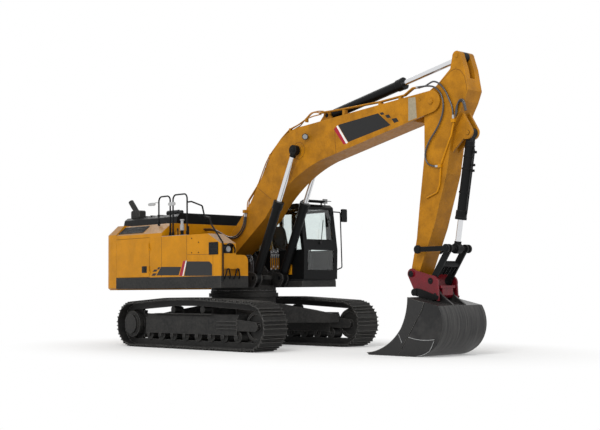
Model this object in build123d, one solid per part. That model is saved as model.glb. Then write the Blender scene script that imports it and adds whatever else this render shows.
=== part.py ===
from build123d import *
import math
import os

os.makedirs("parts", exist_ok=True)

# Crawler excavator, millimetres. X runs forward to the boom, Y to the cab side, Z up from the ground,
# with the slewing axis at X = Y = 0. The finished pieces are moved along X by ORIGIN_SHIFT when they are
# written, so that the origin lies under the middle of the machine.

# Clearances
PIN_GAP = 0.5
SEAT_GAP = 0.3
SLAB_GAP = 5.0
DOOR_GAP = 8.0
DOOR_SEAT_GAP = 4.0

# Tracks
GAUGE = 2590.0
SHOE_WIDTH = 600.0
SHOE_PITCH = 216.0
TUMBLER_DISTANCE = 4040.0
PITCH_RADIUS = 366.0
LINK_DEPTH = 52.0
SHOE_SEAT = 70.0
SHOE_THICKNESS = 16.0
GROUSER_HEIGHT = 38.0
GROUSER_SPACING = 80.0
GROUSER_TIP = 12.0
GROUSER_FOOT = 26.0
SHOE_EDGE_GAP = 3.0
RAIL_INNER = 58.0
RAIL_OUTER = 104.0
RAIL_SINK = 4.0

# Rollers and wheels, where side distances are measured from the middle of the track
BOTTOM_ROLLER_COUNT = 8
BOTTOM_ROLLER_SPAN = 2960.0
BOTTOM_ROLLER_RADIUS = 100.0
ROLLER_FLANGE = 18.0
ROLLER_FLANGE_WIDTH = 16.0
ROLLER_SHAFT_RADIUS = 34.0
CARRIER_X = (-670.0, 335.0)
CARRIER_RADIUS = 72.0
CARRIER_Z = 812.0
CARRIER_SLACK = 4.0
SPROCKET_TEETH = 21
SPROCKET_WIDTH = 80.0
TOOTH_REACH = 8.0
TOOTH_DEPTH = 44.0
HUB_RADIUS = 228.0
DRIVE_COVER_RADIUS = 285.0
DRIVE_CAP_RADIUS = 205.0
DRIVE_REACH = 265.0
MOTOR_RADIUS = 150.0
MOTOR_LENGTH = 140.0
IDLER_RIB_RADIUS = 322.0
IDLER_RIB_WIDTH = 90.0
IDLER_WEB_RADIUS = 240.0
IDLER_WEB_RECESS = 40.0
AXLE_RADIUS = 45.0

# Track frames
SIDE_FRAME_HALF = 165.0
SIDE_FRAME_SHOULDER = 110.0
SIDE_FRAME_REAR = -1560.0
SIDE_FRAME_FRONT = 1500.0
SIDE_FRAME_TOP = 720.0
SIDE_FRAME_EDGE_Z = 600.0
SIDE_FRAME_SKIRT_Z = 310.0
SIDE_FRAME_FLOOR_Z = 402.0
SKIRT_THICKNESS = 25.0
YOKE_INNER = 118.0
YOKE_OUTER = 150.0
YOKE_RADIUS = 92.0
DRIVE_RING_RADIUS = 235.0
SHELF_X = (-1240.0, 700.0)
SHELF_OVERHANG = 62.0
SHELF_THICKNESS = 12.0
GUARD_RIB_COUNT = 3
GUARD_RIB_X = 900.0
GUARD_RIB_Z = 430.0
GUARD_RIB_PITCH = 72.0
GUARD_RIB_REACH = 24.0
GUARD_RIB_THICKNESS = 16.0

# Carbody and slewing ring
CARBODY_BOTTOM = 510.0
CARBODY_TOP = 1068.0
CARBODY_RADIUS = 690.0
LEG_ANGLE = 38.0
LEG_WIDTH = 400.0
LEG_ROOT_TOP = 930.0
LEG_END_TOP = 690.0
SLEW_RING_RADIUS = 750.0
SLEW_RING_BORE = 560.0
SLEW_RING_HEIGHT = 132.0
TURNTABLE_RADIUS = 700.0

# House frame
HOUSE_HALF_WIDTH = 1490.0
HOUSE_BOTTOM = 1262.0
HOUSE_FLOOR = 1500.0
HOUSE_REAR = -2680.0
WEIGHT_DEPTH = 760.0
NOSE_X = 1050.0
CAB_DECK_Z = 1390.0
CAB_DECK_FRONT = 1340.0
CENTRE_GAP_X = 550.0
FRAME_RIB = 60.0
FRAME_SKIN = 22.0

# Boom foot and lift cylinders
FOOT_PIN = (-250.0, 2020.0)
FOOT_RADIUS = 190.0
FOOT_PIN_RADIUS = 55.0
BOOM_HALF = 250.0
BRACKET_INNER = 285.0
BRACKET_THICKNESS = 42.0
LIFT_BASE = (840.0, 1460.0)
LIFT_EYE = (2050.0, 4030.0)
LIFT_Y = 370.0
LIFT_EYE_WIDTH = 110.0
LIFT_EYE_RADIUS = 105.0
LIFT_BARREL_RADIUS = 92.0
LIFT_ROD_RADIUS = 52.0
LIFT_BARREL_LENGTH = 1720.0
LIFT_ROD_INSIDE = 665.0
LUG_THICKNESS = 34.0
BOOM_BOSS = 12.0

# Boom and arm
BOOM_TOP_REAR = (2200.0, 4522.0)
BOOM_TOP_FRONT = (5544.0, 4789.0)
ARM_PIN = (5560.0, 4590.0)
ARM_HALF = 200.0
FORK_GAP = 6.0
FORK_DEPTH = 480.0
STICK_BASE = (2730.0, 4690.0)
STICK_EYE = (6120.0, 5340.0)
STICK_BARREL_RADIUS = 98.0
STICK_ROD_RADIUS = 55.0
STICK_BARREL_LENGTH = 2020.0
STICK_ROD_INSIDE = 880.0
CENTRE_EYE_WIDTH = 130.0
CENTRE_LUG_THICKNESS = 45.0
EYE_RADIUS = 92.0
EYE_PIN_RADIUS = 45.0
EYE_SLOT_DEPTH = 420.0
BUCKET_BASE = (6270.0, 3955.0)
BUCKET_EYE = (5900.0, 1915.0)
BUCKET_BARREL_RADIUS = 85.0
BUCKET_ROD_RADIUS = 50.0
BUCKET_BARREL_LENGTH = 1550.0
BUCKET_ROD_INSIDE = 1150.0
GLAND_EXTRA = 16.0
GLAND_RING_EXTRA = 21.0
GLAND_LENGTH = 160.0
GLAND_RING_LENGTH = 45.0
NECK_LENGTH = 60.0
ROD_COLLAR_LENGTH = 40.0
ROD_COLLAR_EXTRA = 14.0

# Bucket linkage
BUCKET_PIN = (5066.0, 1476.0)
SIDE_LINK_PIN = (5240.0, 1915.0)
COUPLER_PIN = (5508.0, 1343.0)
POWER_LINK_Y = (208.0, 243.0)
EAR_Y = (250.0, 285.0)
SIDE_LINK_Y = (292.0, 330.0)
LINK_RADIUS = 78.0
LINK_WAIST = 46.0
LINK_TUBE_RADIUS = 58.0
EAR_RADIUS = 98.0
BASE_PLATE_Z = 1258.0
BASE_PLATE_THICKNESS = 45.0
EAR_BOTTOM = 1125.0
EAR_FLOOR_GAP = 24.0
BASE_FRONT_LENGTH = 205.0
FRONT_BUCKET_PIN = (5130.0, 1140.0)
REAR_BUCKET_PIN = (5590.0, 1105.0)
BUCKET_EAR_RADIUS = 68.0
BUCKET_EAR_Y = (150.0, 194.0)
BUCKET_PIN_RADIUS = 40.0

# Bucket
BUCKET_HALF = 620.0
BUCKET_WALL = 28.0
BUCKET_SIDE_WALL = 25.0
EDGE_THICKNESS = 42.0
BUCKET_TIP_X = 4231.0
BUCKET_TOP_FRONT = (5244.0, 1056.0)
BUCKET_TOP_REAR = (5950.0, 905.0)
SIDE_PLATE_THICKNESS = 10.0

# Upper body
BODY_WALL = 40.0
EAVE_Z = 2370.0
SHOULDER_Z = 2450.0
ROOF_Z = 2670.0
ROOF_INSET = 270.0
ENGINE_FRONT = -955.0
TANK_REAR = -1386.0
BAY_REAR = -80.0
TANK_INNER = 640.0
NOSE_TOP = 2160.0
NOSE_SLOPE_X = 630.0
NOSE_BOX_TOP = 1930.0
NOSE_BOX_WIDTH = 720.0
NOSE_UPPER_WIDTH = 400.0
NOSE_CORNER = 130.0
NOSE_RECESS = 60.0
NOSE_VENT_X = 680.0
NOSE_VENT_WIDTH = 290.0
NOSE_VENT_Z = 1935.0
NOSE_VENT_HEIGHT = 250.0
NOSE_VENT_SLOTS = 8
STEP_RECESS = 110.0
STEP_RECESS_TOP = 1640.0
TAIL_TOP = 2690.0
TAIL_BOTTOM = 1232.0
TAIL_CORNER = 300.0
TAIL_TOP_CHAMFER = 215.0
TAIL_BOTTOM_CHAMFER = 45.0
HOOD_SETBACK = 390.0
HOOD_TOP = 2880.0
HOOD_HINGES = (-700.0, 600.0)
COWL_OVERHANG = 280.0
COWL_REACH = 240.0
ROOF_GRILLE_LENGTH = 940.0
ROOF_GRILLE_WIDTH = 235.0
ROOF_GRILLE_SLOTS = 22
GRILLE_THICKNESS = 14.0
GRILLE_EDGE = 12.0
LEFT_BAY_FRONT = -470.0
LEFT_BAY_INNER = 700.0
DOOR_THICKNESS = 35.0
DOOR_BOTTOM = 1512.0
HINGE_OFFSET = 14.0
HINGE_RADIUS = 13.0
HINGE_HEIGHT = 110.0
HINGE_SEAT_HEIGHT = 50.0
HINGE_LEAF = 10.0
DOOR_PILLAR = 40.0

# Engine
ENGINE_SIZE = (820.0, 1350.0, 780.0)
ENGINE_SPACE = 370.0
ENGINE_Y = 60.0

# Cab
CAB_REAR = -400.0
CAB_FRONT = 1400.0
CAB_RIGHT = 500.0
CAB_BOTTOM = 1430.0
CAB_ROOF = 3045.0
CAB_ROOF_FRONT = 1240.0
CAB_BELT = 2060.0
CAB_WALL = 45.0
CAB_PILLAR = 75.0
CAB_FRONT_PILLAR = 105.0
CAB_DOOR_REAR = 60.0
CAB_DOOR_FRONT = 1130.0
CAB_MOUNT_RADIUS = 60.0
GLASS_THICKNESS = 8.0
GLASS_DEPTH = 18.0
SEAT_X = 220.0
SEAT_WIDTH = 500.0
SEAT_HEIGHT = 480.0
CONSOLE_START = 0.075
CONSOLE_END = 0.575
VISOR_X = (1140.0, 1420.0)
VISOR_RIGHT_MARGIN = 135.0
VISOR_LEFT_MARGIN = 196.0
VISOR_RISE = 55.0
VISOR_THICKNESS = 14.0
MIRROR_RAIL_RADIUS = 13.0
MIRROR_SIZE = (42.0, 155.0, 280.0)
MIRROR_FRONT = 1605.0
LAMP_RADIUS = 58.0
LAMP_DEPTH = 40.0

# Handrails and exhaust
RAIL_RADIUS = 17.0
RAIL_BEND = 105.0
REAR_LOOP_INSET = 190.0
FRONT_LOOP_INSET = 140.0
LOOP_HEIGHT = 885.0
RAIL_BOOT_RADIUS = 27.0
RAIL_BOOT_HEIGHT = 95.0
EXHAUST_REACH = 120.0
EXHAUST_Y = -920.0
EXHAUST_BOX = (340.0, 170.0, 165.0)
EXHAUST_RADIUS = 62.0
EXHAUST_WALL = 7.0
EXHAUST_RISE = 385.0
EXHAUST_SLANT = 125.0

# Pipes and hoses
PIPE_RADIUS = 17.0
PIPE_BEND = 60.0
PIPE_SPACING = 46.0
HOSE_RADIUS = 16.0
BOOM_PIPE_RUN = ((2640.0, 180.0), (3332.0, 122.0), (4289.0, 60.0), (4900.0, 55.0))
BOOM_PIPE_END = (5240.0, 4896.0)
BOOM_PIPE_LAST_RUN = 140.0
BOOM_CLAMPS = ((3332.0, 122.0), (4289.0, 60.0), (4800.0, 56.0))
ARM_PIPE_RUNS = (
    ((6048.0, 4149.7), (5985.0, 3930.0), (5851.0, 3659.0), (5745.0, 3434.3)),
    ((5735.0, 3371.7), (5700.0, 3059.0), (5640.0, 2930.0), (5405.0, 2850.0)),
)
ARM_BLOCKS = ((6010.0, 6085.0, 4150.0, 4214.7), (5690.3, 5760.0, 3372.0, 3434.0))
HOSE_BLOCK = (380.0, 455.0, 2850.0, 2915.0)
TIP_HOSE_ROUTES = (
    (
        (5240.3, -225.0, 4896.0), (5390.0, -225.0, 4896.0), (5620.0, -225.0, 4862.0),
        (5775.0, -227.0, 4720.0), (5840.0, -232.0, 4520.0), (5815.0, -238.0, 4309.0),
        (5690.0, -242.0, 4080.0), (5480.0, -242.0, 3860.0), (5365.0, -240.0, 3610.0),
        (5480.0, -230.0, 3402.0), (5690.0, -230.0, 3402.0),
    ),
    (
        (5240.3, -179.0, 4896.0), (5370.0, -179.0, 4896.0), (5480.0, -190.0, 4940.0),
        (5610.0, -212.0, 4960.0), (5765.0, -226.0, 4880.0), (5885.0, -230.0, 4745.0),
        (5965.0, -230.0, 4580.0), (6048.0, -230.0, 4400.0), (6048.0, -230.0, 4215.0),
    ),
)
FOOT_HOSE_ROUTE = (
    (-954.7, -300.0, 2540.0), (-800.0, -300.0, 2540.0), (-610.0, -300.0, 2520.0), (-420.0, -298.0, 2455.0),
    (-230.0, -296.0, 2365.0), (-20.0, -292.0, 2310.0), (185.0, -288.0, 2350.0), (340.0, -284.0, 2490.0),
    (417.0, -278.0, 2660.0), (417.0, -278.0, 2849.7),
)
FOOT_HOSE_STEP = (-38.0, 25.0)

# Values that follow from the ones above
SHOE_REACH = SHOE_SEAT + SHOE_THICKNESS + GROUSER_HEIGHT
AXLE_Z = PITCH_RADIUS + SHOE_REACH
RAIL_FLOOR = SHOE_REACH + LINK_DEPTH
CHORD_RADIUS = PITCH_RADIUS * math.cos(SHOE_PITCH / 2 / PITCH_RADIUS)
TREAD_RADIUS = CHORD_RADIUS - LINK_DEPTH - SEAT_GAP
BOTTOM_ROLLER_Z = RAIL_FLOOR + SEAT_GAP + BOTTOM_ROLLER_RADIUS
SPROCKET_X = -TUMBLER_DISTANCE / 2
IDLER_X = TUMBLER_DISTANCE / 2
SLEW_RING_Z = CARBODY_TOP
TURNTABLE_Z = SLEW_RING_Z + SLEW_RING_HEIGHT + SEAT_GAP
CAB_SIDE_LUG_OUTER = LIFT_Y + LIFT_EYE_WIDTH / 2 + SEAT_GAP + LUG_THICKNESS
CAB_LEFT = HOUSE_HALF_WIDTH
WALL_OUTER = HOUSE_HALF_WIDTH - DOOR_THICKNESS - DOOR_SEAT_GAP
TAIL_RADIUS = WEIGHT_DEPTH - HOUSE_REAR
HOOD_REAR = HOUSE_REAR + COWL_REACH
COWL_REAR = HOUSE_REAR - COWL_OVERHANG
LEFT_DOOR_SPLIT = (HOUSE_REAR + ENGINE_FRONT) / 2 - DOOR_PILLAR / 2
ORIGIN_SHIFT = -(STICK_EYE[0] + 250.0 - TAIL_RADIUS) / 2
HOOD_HALF = HOUSE_HALF_WIDTH - HOOD_SETBACK
NOSE_BOX_INNER = HOUSE_HALF_WIDTH - NOSE_BOX_WIDTH
NOSE_UPPER_INNER = HOUSE_HALF_WIDTH - NOSE_UPPER_WIDTH
VISOR_Y = (CAB_RIGHT + VISOR_RIGHT_MARGIN, CAB_LEFT - VISOR_LEFT_MARGIN)


# Small helpers
def face_xz(start, *steps, y=0.0):
    """A face at one Y from points (x, z). A step of two points is an arc: its middle, then its end."""
    edges = []
    here = start
    for step in steps:
        if isinstance(step[0], tuple):
            middle, end = step
            edges.append(ThreePointArc(to_3d(here, y), to_3d(middle, y), to_3d(end, y)))
        else:
            end = step
            edges.append(Line(to_3d(here, y), to_3d(end, y)))
        here = end
    if math.dist(here, start) > 0.001:
        edges.append(Line(to_3d(here, y), to_3d(start, y)))
    return make_face(Wire(edges))


def to_3d(point, y):
    return (point[0], y, point[1])


def plate_xz(y_low, y_high, start, *steps):
    """A flat plate that lies across Y, from a side outline."""
    return extrude(face_xz(start, *steps, y=y_low), amount=y_high - y_low, dir=(0, 1, 0))


def block(x_low, x_high, y_low, y_high, z_low, z_high):
    box = Box(x_high - x_low, y_high - y_low, z_high - z_low, align=(Align.MIN, Align.MIN, Align.MIN))
    return Pos(x_low, y_low, z_low) * box


def rod_y(centre, radius, y_low, y_high):
    """A round bar across the machine, centred on a point (x, z)."""
    bar = Cylinder(radius, y_high - y_low, align=(Align.CENTER, Align.CENTER, Align.MIN))
    return Pos(centre[0], y_low, centre[1]) * Rot(-90, 0, 0) * bar


def rod_z(x, y, radius, z_low, z_high):
    bar = Cylinder(radius, z_high - z_low, align=(Align.CENTER, Align.CENTER, Align.MIN))
    return Pos(x, y, z_low) * bar


def mirrored(shape):
    """The same shape on the other side of the machine."""
    return mirror(shape, about=Plane.XZ)


def pair(shape):
    return [shape, mirrored(shape)]


def toward(start, end, distance):
    """The point a distance along the way from one point to another."""
    share = distance / math.dist(start, end)
    return (start[0] + (end[0] - start[0]) * share, start[1] + (end[1] - start[1]) * share)


def bar_between(start, end, radius, y):
    """A round bar from one point (x, z) to another, at one Y."""
    direction = Vector(end[0] - start[0], 0, end[1] - start[1])
    base = Plane(origin=(start[0], y, start[1]), z_dir=direction)
    bar = Cylinder(radius, math.dist(start, end), align=(Align.CENTER, Align.CENTER, Align.MIN))
    return base * bar


def link_plate(start, end, y_low, y_high, radius, waist):
    """A link: a round eye at each end and a narrower bar between them."""
    length = math.dist(start, end)
    along = ((end[0] - start[0]) / length, (end[1] - start[1]) / length)
    side = (-along[1] * waist, along[0] * waist)
    corners = [
        (start[0] + side[0], start[1] + side[1]),
        (end[0] + side[0], end[1] + side[1]),
        (end[0] - side[0], end[1] - side[1]),
        (start[0] - side[0], start[1] - side[1]),
    ]
    bar = plate_xz(y_low, y_high, *corners)
    return bar + rod_y(start, radius, y_low, y_high) + rod_y(end, radius, y_low, y_high)


def tube(points, radius, bend=RAIL_BEND):
    """A bent round tube through points in space."""
    path = FilletPolyline(*points, radius=bend)
    section = Plane(origin=path @ 0, z_dir=path % 0) * Circle(radius)
    return sweep(section, path=path)


NODES = {}


def keep(name, *shapes):
    """Notes the solids of one node, to be written at the end."""
    solids = []
    for shape in shapes:
        solids += shape.solids()
    NODES[name] = solids


# Track chain
def pin_circles():
    """The circles that the chain's pins run round, from the sprocket over the top: x, z, radius."""
    carrier = CARRIER_RADIUS + CARRIER_SLACK + LINK_DEPTH
    wheels = [(SPROCKET_X, AXLE_Z, PITCH_RADIUS)]
    wheels += [(x, CARRIER_Z, carrier) for x in CARRIER_X]
    wheels += [(IDLER_X, AXLE_Z, PITCH_RADIUS)]
    return wheels


def belt_stretches():
    """The pin line as arcs (length, x, z, radius, first angle) and lines (length, x, z, dx, dz)."""
    circles = pin_circles()
    following = circles[1:] + circles[:1]
    normals = []
    for (ax, az, ar), (bx, bz, br) in zip(circles, following):
        heading = math.atan2(bz - az, bx - ax)
        normals.append(heading + math.acos((ar - br) / math.hypot(bx - ax, bz - az)))
    stretches = []
    for index, (x, z, radius) in enumerate(circles):
        turn = (normals[index - 1] - normals[index]) % (2 * math.pi)
        stretches.append(("arc", radius * turn, x, z, radius, normals[index - 1]))
        nx, nz, next_radius = following[index]
        out = (math.cos(normals[index]), math.sin(normals[index]))
        start = (x + radius * out[0], z + radius * out[1])
        end = (nx + next_radius * out[0], nz + next_radius * out[1])
        stretches.append(("line", math.dist(start, end), *start, end[0] - start[0], end[1] - start[1]))
    return stretches


def belt_point(stretches, distance):
    for stretch in stretches:
        kind, length = stretch[:2]
        if distance <= length:
            break
        distance -= length
    if kind == "arc":
        x, z, radius, first = stretch[2:]
        angle = first - distance / radius
        return (x + radius * math.cos(angle), z + radius * math.sin(angle))
    x, z, dx, dz = stretch[2:]
    return (x + dx * distance / length, z + dz * distance / length)


def chain_pins():
    """The pins of the chain, evenly spaced round the belt."""
    stretches = belt_stretches()
    total = sum(stretch[1] for stretch in stretches)
    count = round(total / SHOE_PITCH)
    return [belt_point(stretches, total * k / count) for k in range(count)]


def shoe_points(start, end):
    """One shoe's outer outline over two pins: a plate with three bars, the outer two near its edges."""
    length = math.dist(start, end)
    along = ((end[0] - start[0]) / length, (end[1] - start[1]) / length)
    middle = ((start[0] + end[0]) / 2, (start[1] + end[1]) / 2)
    top = SHOE_SEAT + SHOE_THICKNESS
    tip = GROUSER_TIP / 2
    foot = GROUSER_FOOT / 2
    edge = length / 2 - SHOE_EDGE_GAP
    outline = [(-edge, top)]
    for bar in (-GROUSER_SPACING, 0.0, GROUSER_SPACING):
        if bar > -GROUSER_SPACING:
            outline.append((bar - foot, top))
        outline += [(bar - tip, SHOE_REACH), (bar + tip, SHOE_REACH)]
        if bar < GROUSER_SPACING:
            outline.append((bar + foot, top))
    outline.append((edge, top))
    return [
        (middle[0] + along[0] * u - along[1] * v, middle[1] + along[1] * u + along[0] * v)
        for u, v in outline
    ]


def pin_polygon(pins, offset):
    """The closed line through the pins moved outward, kept only where the chain turns."""
    points = []
    for index, pin in enumerate(pins):
        before = pins[index - 1]
        after = pins[(index + 1) % len(pins)]
        first = math.atan2(pin[1] - before[1], pin[0] - before[0])
        second = math.atan2(after[1] - pin[1], after[0] - pin[0])
        turn = (first - second + math.pi) % (2 * math.pi) - math.pi
        if abs(turn) < math.radians(0.3):
            continue
        out = (first + second) / 2 + math.pi / 2
        if abs(first - second) > math.pi:
            out += math.pi
        reach = offset / math.cos(turn / 2)
        points.append((pin[0] + reach * math.cos(out), pin[1] + reach * math.sin(out)))
    return points


def track():
    """The right track: shoes in one closed outline on two rails of links."""
    pins = chain_pins()
    outer = []
    for index, pin in enumerate(pins):
        outer += shoe_points(pin, pins[(index + 1) % len(pins)])
    low = -(GAUGE + SHOE_WIDTH) / 2
    shoes = face_xz(*outer, y=low) - face_xz(*pin_polygon(pins, SHOE_SEAT), y=low)
    solid = extrude(shoes, amount=SHOE_WIDTH, dir=(0, 1, 0))
    for side in (-1, 1):
        y = -GAUGE / 2 + min(side * RAIL_INNER, side * RAIL_OUTER)
        rail_outer = face_xz(*pin_polygon(pins, SHOE_SEAT + RAIL_SINK), y=y)
        rail = rail_outer - face_xz(*pin_polygon(pins, -LINK_DEPTH), y=y)
        solid += extrude(rail, amount=RAIL_OUTER - RAIL_INNER, dir=(0, 1, 0))
    return solid


# Wheels and rollers of the right side
def side_y(distance):
    """Y on the right track, from its distance outboard of the track's middle line."""
    return -GAUGE / 2 - distance


def sprocket_outline():
    points = []
    step = 2 * math.pi / SPROCKET_TEETH
    root = PITCH_RADIUS - TOOTH_DEPTH
    reach = PITCH_RADIUS + TOOTH_REACH
    for tooth in range(SPROCKET_TEETH):
        for share, radius in ((-0.30, root), (-0.10, reach), (0.10, reach), (0.30, root)):
            angle = step * (tooth + share)
            points.append((SPROCKET_X + radius * math.cos(angle), AXLE_Z + radius * math.sin(angle)))
    return points


def final_drive():
    """The sprocket with its reduction gear's round cover, and the travel motor inboard of the frame."""
    axle = (SPROCKET_X, AXLE_Z)
    hub = rod_y(axle, HUB_RADIUS, side_y(RAIL_OUTER), side_y(-YOKE_INNER + SEAT_GAP))
    disc = plate_xz(side_y(SPROCKET_WIDTH / 2), side_y(-SPROCKET_WIDTH / 2), *sprocket_outline())
    cover = rod_y(axle, DRIVE_COVER_RADIUS, side_y(DRIVE_REACH - 60), side_y(RAIL_OUTER + 8))
    neck = rod_y(axle, HUB_RADIUS, side_y(RAIL_OUTER + 8), side_y(RAIL_OUTER))
    cap = rod_y(axle, DRIVE_CAP_RADIUS, side_y(DRIVE_REACH), side_y(DRIVE_REACH - 60))
    motor_end = side_y(-YOKE_OUTER - SEAT_GAP)
    motor = rod_y(axle, MOTOR_RADIUS, motor_end, motor_end + MOTOR_LENGTH)
    return hub + disc + neck + cover + cap, motor


def idler():
    axle = (IDLER_X, AXLE_Z)
    tread = rod_y(axle, TREAD_RADIUS, side_y(RAIL_OUTER), side_y(-RAIL_OUTER))
    rib = rod_y(axle, IDLER_RIB_RADIUS, side_y(IDLER_RIB_WIDTH / 2), side_y(-IDLER_RIB_WIDTH / 2))
    wheel = tread + rib
    for side in (-1, 1):
        low, high = sorted((side_y(side * RAIL_OUTER), side_y(side * (RAIL_OUTER - IDLER_WEB_RECESS))))
        recess = rod_y(axle, IDLER_WEB_RADIUS, low, high) - rod_y(axle, AXLE_RADIUS * 2, low, high)
        wheel -= recess
    return wheel + rod_y(axle, AXLE_RADIUS, side_y(YOKE_INNER - SEAT_GAP), side_y(-YOKE_INNER + SEAT_GAP))


def bottom_rollers():
    rollers = []
    for index in range(BOTTOM_ROLLER_COUNT):
        x = BOTTOM_ROLLER_SPAN * (index / (BOTTOM_ROLLER_COUNT - 1) - 0.5)
        rollers.append(bottom_roller((x, BOTTOM_ROLLER_Z)))
    return rollers


def bottom_roller(centre):
    """A roller with outer flanges beside the rails, on shaft ends seated under the frame's skirts."""
    flange_start = RAIL_OUTER + 2
    flange_end = flange_start + ROLLER_FLANGE_WIDTH
    roller = rod_y(centre, BOTTOM_ROLLER_RADIUS, side_y(flange_end), side_y(-flange_end))
    for side in (-1, 1):
        low, high = sorted((side_y(side * flange_start), side_y(side * flange_end)))
        roller += rod_y(centre, BOTTOM_ROLLER_RADIUS + ROLLER_FLANGE, low, high)
        low, high = sorted((side_y(side * flange_end), side_y(side * SIDE_FRAME_HALF)))
        top = SIDE_FRAME_SKIRT_Z - SEAT_GAP
        half = ROLLER_SHAFT_RADIUS + 6
        roller += block(centre[0] - half, centre[0] + half, low, high, centre[1] - half, top)
    return roller


def carrier_rollers():
    rollers = []
    for x in CARRIER_X:
        centre = (x, CARRIER_Z)
        roller = rod_y(centre, CARRIER_RADIUS, side_y(RAIL_OUTER), side_y(-RAIL_OUTER))
        roller += rod_y(centre, ROLLER_SHAFT_RADIUS, side_y(-RAIL_OUTER), side_y(-RAIL_OUTER - 40))
        rollers.append(roller)
    return rollers


def track_frame():
    """The right side frame: a box with skirts over the rollers, idler yoke, drive ring and roller posts."""
    low = side_y(SIDE_FRAME_HALF)
    section = [
        (low, SIDE_FRAME_SKIRT_Z),
        (low, SIDE_FRAME_EDGE_Z),
        (side_y(SIDE_FRAME_SHOULDER), SIDE_FRAME_TOP),
        (side_y(-SIDE_FRAME_SHOULDER), SIDE_FRAME_TOP),
        (side_y(-SIDE_FRAME_HALF), SIDE_FRAME_EDGE_Z),
        (side_y(-SIDE_FRAME_HALF), SIDE_FRAME_SKIRT_Z),
        (side_y(-SIDE_FRAME_HALF + SKIRT_THICKNESS), SIDE_FRAME_SKIRT_Z),
        (side_y(-SIDE_FRAME_HALF + SKIRT_THICKNESS), SIDE_FRAME_FLOOR_Z),
        (side_y(SIDE_FRAME_HALF - SKIRT_THICKNESS), SIDE_FRAME_FLOOR_Z),
        (side_y(SIDE_FRAME_HALF - SKIRT_THICKNESS), SIDE_FRAME_SKIRT_Z),
    ]
    corners = [(SIDE_FRAME_REAR, y, z) for y, z in section]
    profile = make_face(Polyline(*corners, close=True))
    frame = extrude(profile, amount=SIDE_FRAME_FRONT - SIDE_FRAME_REAR, dir=(1, 0, 0))
    frame += idler_yoke(1) + idler_yoke(-1) + drive_bracket()
    for x in CARRIER_X:
        frame += carrier_post(x)
    shelf_half = SIDE_FRAME_SHOULDER + SHELF_OVERHANG
    shelf_y = sorted((side_y(shelf_half), side_y(0)))
    frame += block(*SHELF_X, *shelf_y, SIDE_FRAME_TOP - 2, SIDE_FRAME_TOP + SHELF_THICKNESS)
    for index in range(GUARD_RIB_COUNT):
        z = GUARD_RIB_Z + GUARD_RIB_PITCH * index
        rib_y = sorted((side_y(SIDE_FRAME_HALF + GUARD_RIB_REACH), side_y(SIDE_FRAME_HALF - 1)))
        frame += block(GUARD_RIB_X, SIDE_FRAME_FRONT - 10, *rib_y, z, z + GUARD_RIB_THICKNESS)
    return frame


def idler_yoke(side):
    """One flat arm beside the idler, with a round end over its axle."""
    low, high = sorted((side_y(side * YOKE_INNER), side_y(side * YOKE_OUTER)))
    root = SIDE_FRAME_FRONT - 60
    arm = plate_xz(
        low,
        high,
        (root, AXLE_Z - 90),
        (IDLER_X, AXLE_Z - YOKE_RADIUS),
        ((IDLER_X + YOKE_RADIUS, AXLE_Z), (IDLER_X, AXLE_Z + YOKE_RADIUS)),
        (root, AXLE_Z + 140),
    )
    return arm


def drive_bracket():
    """The plate inboard of the sprocket that carries the final drive."""
    plate = plate_xz(
        side_y(-YOKE_INNER),
        side_y(-YOKE_OUTER),
        (SIDE_FRAME_REAR + 80, BOTTOM_ROLLER_Z + BOTTOM_ROLLER_RADIUS + ROLLER_FLANGE + SLAB_GAP * 3),
        (SPROCKET_X, AXLE_Z - DRIVE_RING_RADIUS),
        ((SPROCKET_X - DRIVE_RING_RADIUS, AXLE_Z), (SPROCKET_X, AXLE_Z + DRIVE_RING_RADIUS)),
        (SIDE_FRAME_REAR + 80, AXLE_Z + 200),
    )
    return plate


def carrier_post(x):
    """A post on the frame's top, inboard of the carrier roller, with a round head for its shaft."""
    inner = side_y(-RAIL_OUTER - 40)
    low = side_y(-RAIL_OUTER - 8)
    head = rod_y((x, CARRIER_Z), 55, low, inner)
    post = block(x - 55, x + 55, low, inner, SIDE_FRAME_EDGE_Z + 20, CARRIER_Z)
    bore = rod_y((x, CARRIER_Z), ROLLER_SHAFT_RADIUS + SEAT_GAP, low - 1, inner + 1)
    return post + head - bore


# Carbody
def carbody():
    """The centre frame: a drum under the slewing ring on four box legs that end on the side frames."""
    drum = rod_z(0, 0, CARBODY_RADIUS, CARBODY_BOTTOM + 60, CARBODY_TOP)
    belly = block(-720, 720, -620, 620, CARBODY_BOTTOM, LEG_END_TOP)
    body = drum + belly
    reach = GAUGE / 2 - SIDE_FRAME_HALF
    for quarter in (LEG_ANGLE, 180 - LEG_ANGLE, 180 + LEG_ANGLE, -LEG_ANGLE):
        body += Rot(0, 0, quarter) * carbody_leg()
    slab = block(-2500, 2500, -reach, reach, CARBODY_BOTTOM, CARBODY_TOP)
    return body & slab


def carbody_leg():
    length = 2300.0
    return plate_xz(
        -LEG_WIDTH / 2,
        LEG_WIDTH / 2,
        (300, CARBODY_BOTTOM),
        (length, CARBODY_BOTTOM - 40),
        (length, LEG_END_TOP - 60),
        (CARBODY_RADIUS, LEG_ROOT_TOP),
        (300, LEG_ROOT_TOP),
    )


def slew_ring():
    ring = rod_z(0, 0, SLEW_RING_RADIUS, SLEW_RING_Z, SLEW_RING_Z + SLEW_RING_HEIGHT * 0.6)
    ring += rod_z(0, 0, SLEW_RING_RADIUS - 40, SLEW_RING_Z, SLEW_RING_Z + SLEW_RING_HEIGHT)
    return ring - rod_z(0, 0, SLEW_RING_BORE, SLEW_RING_Z, SLEW_RING_Z + SLEW_RING_HEIGHT)


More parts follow.
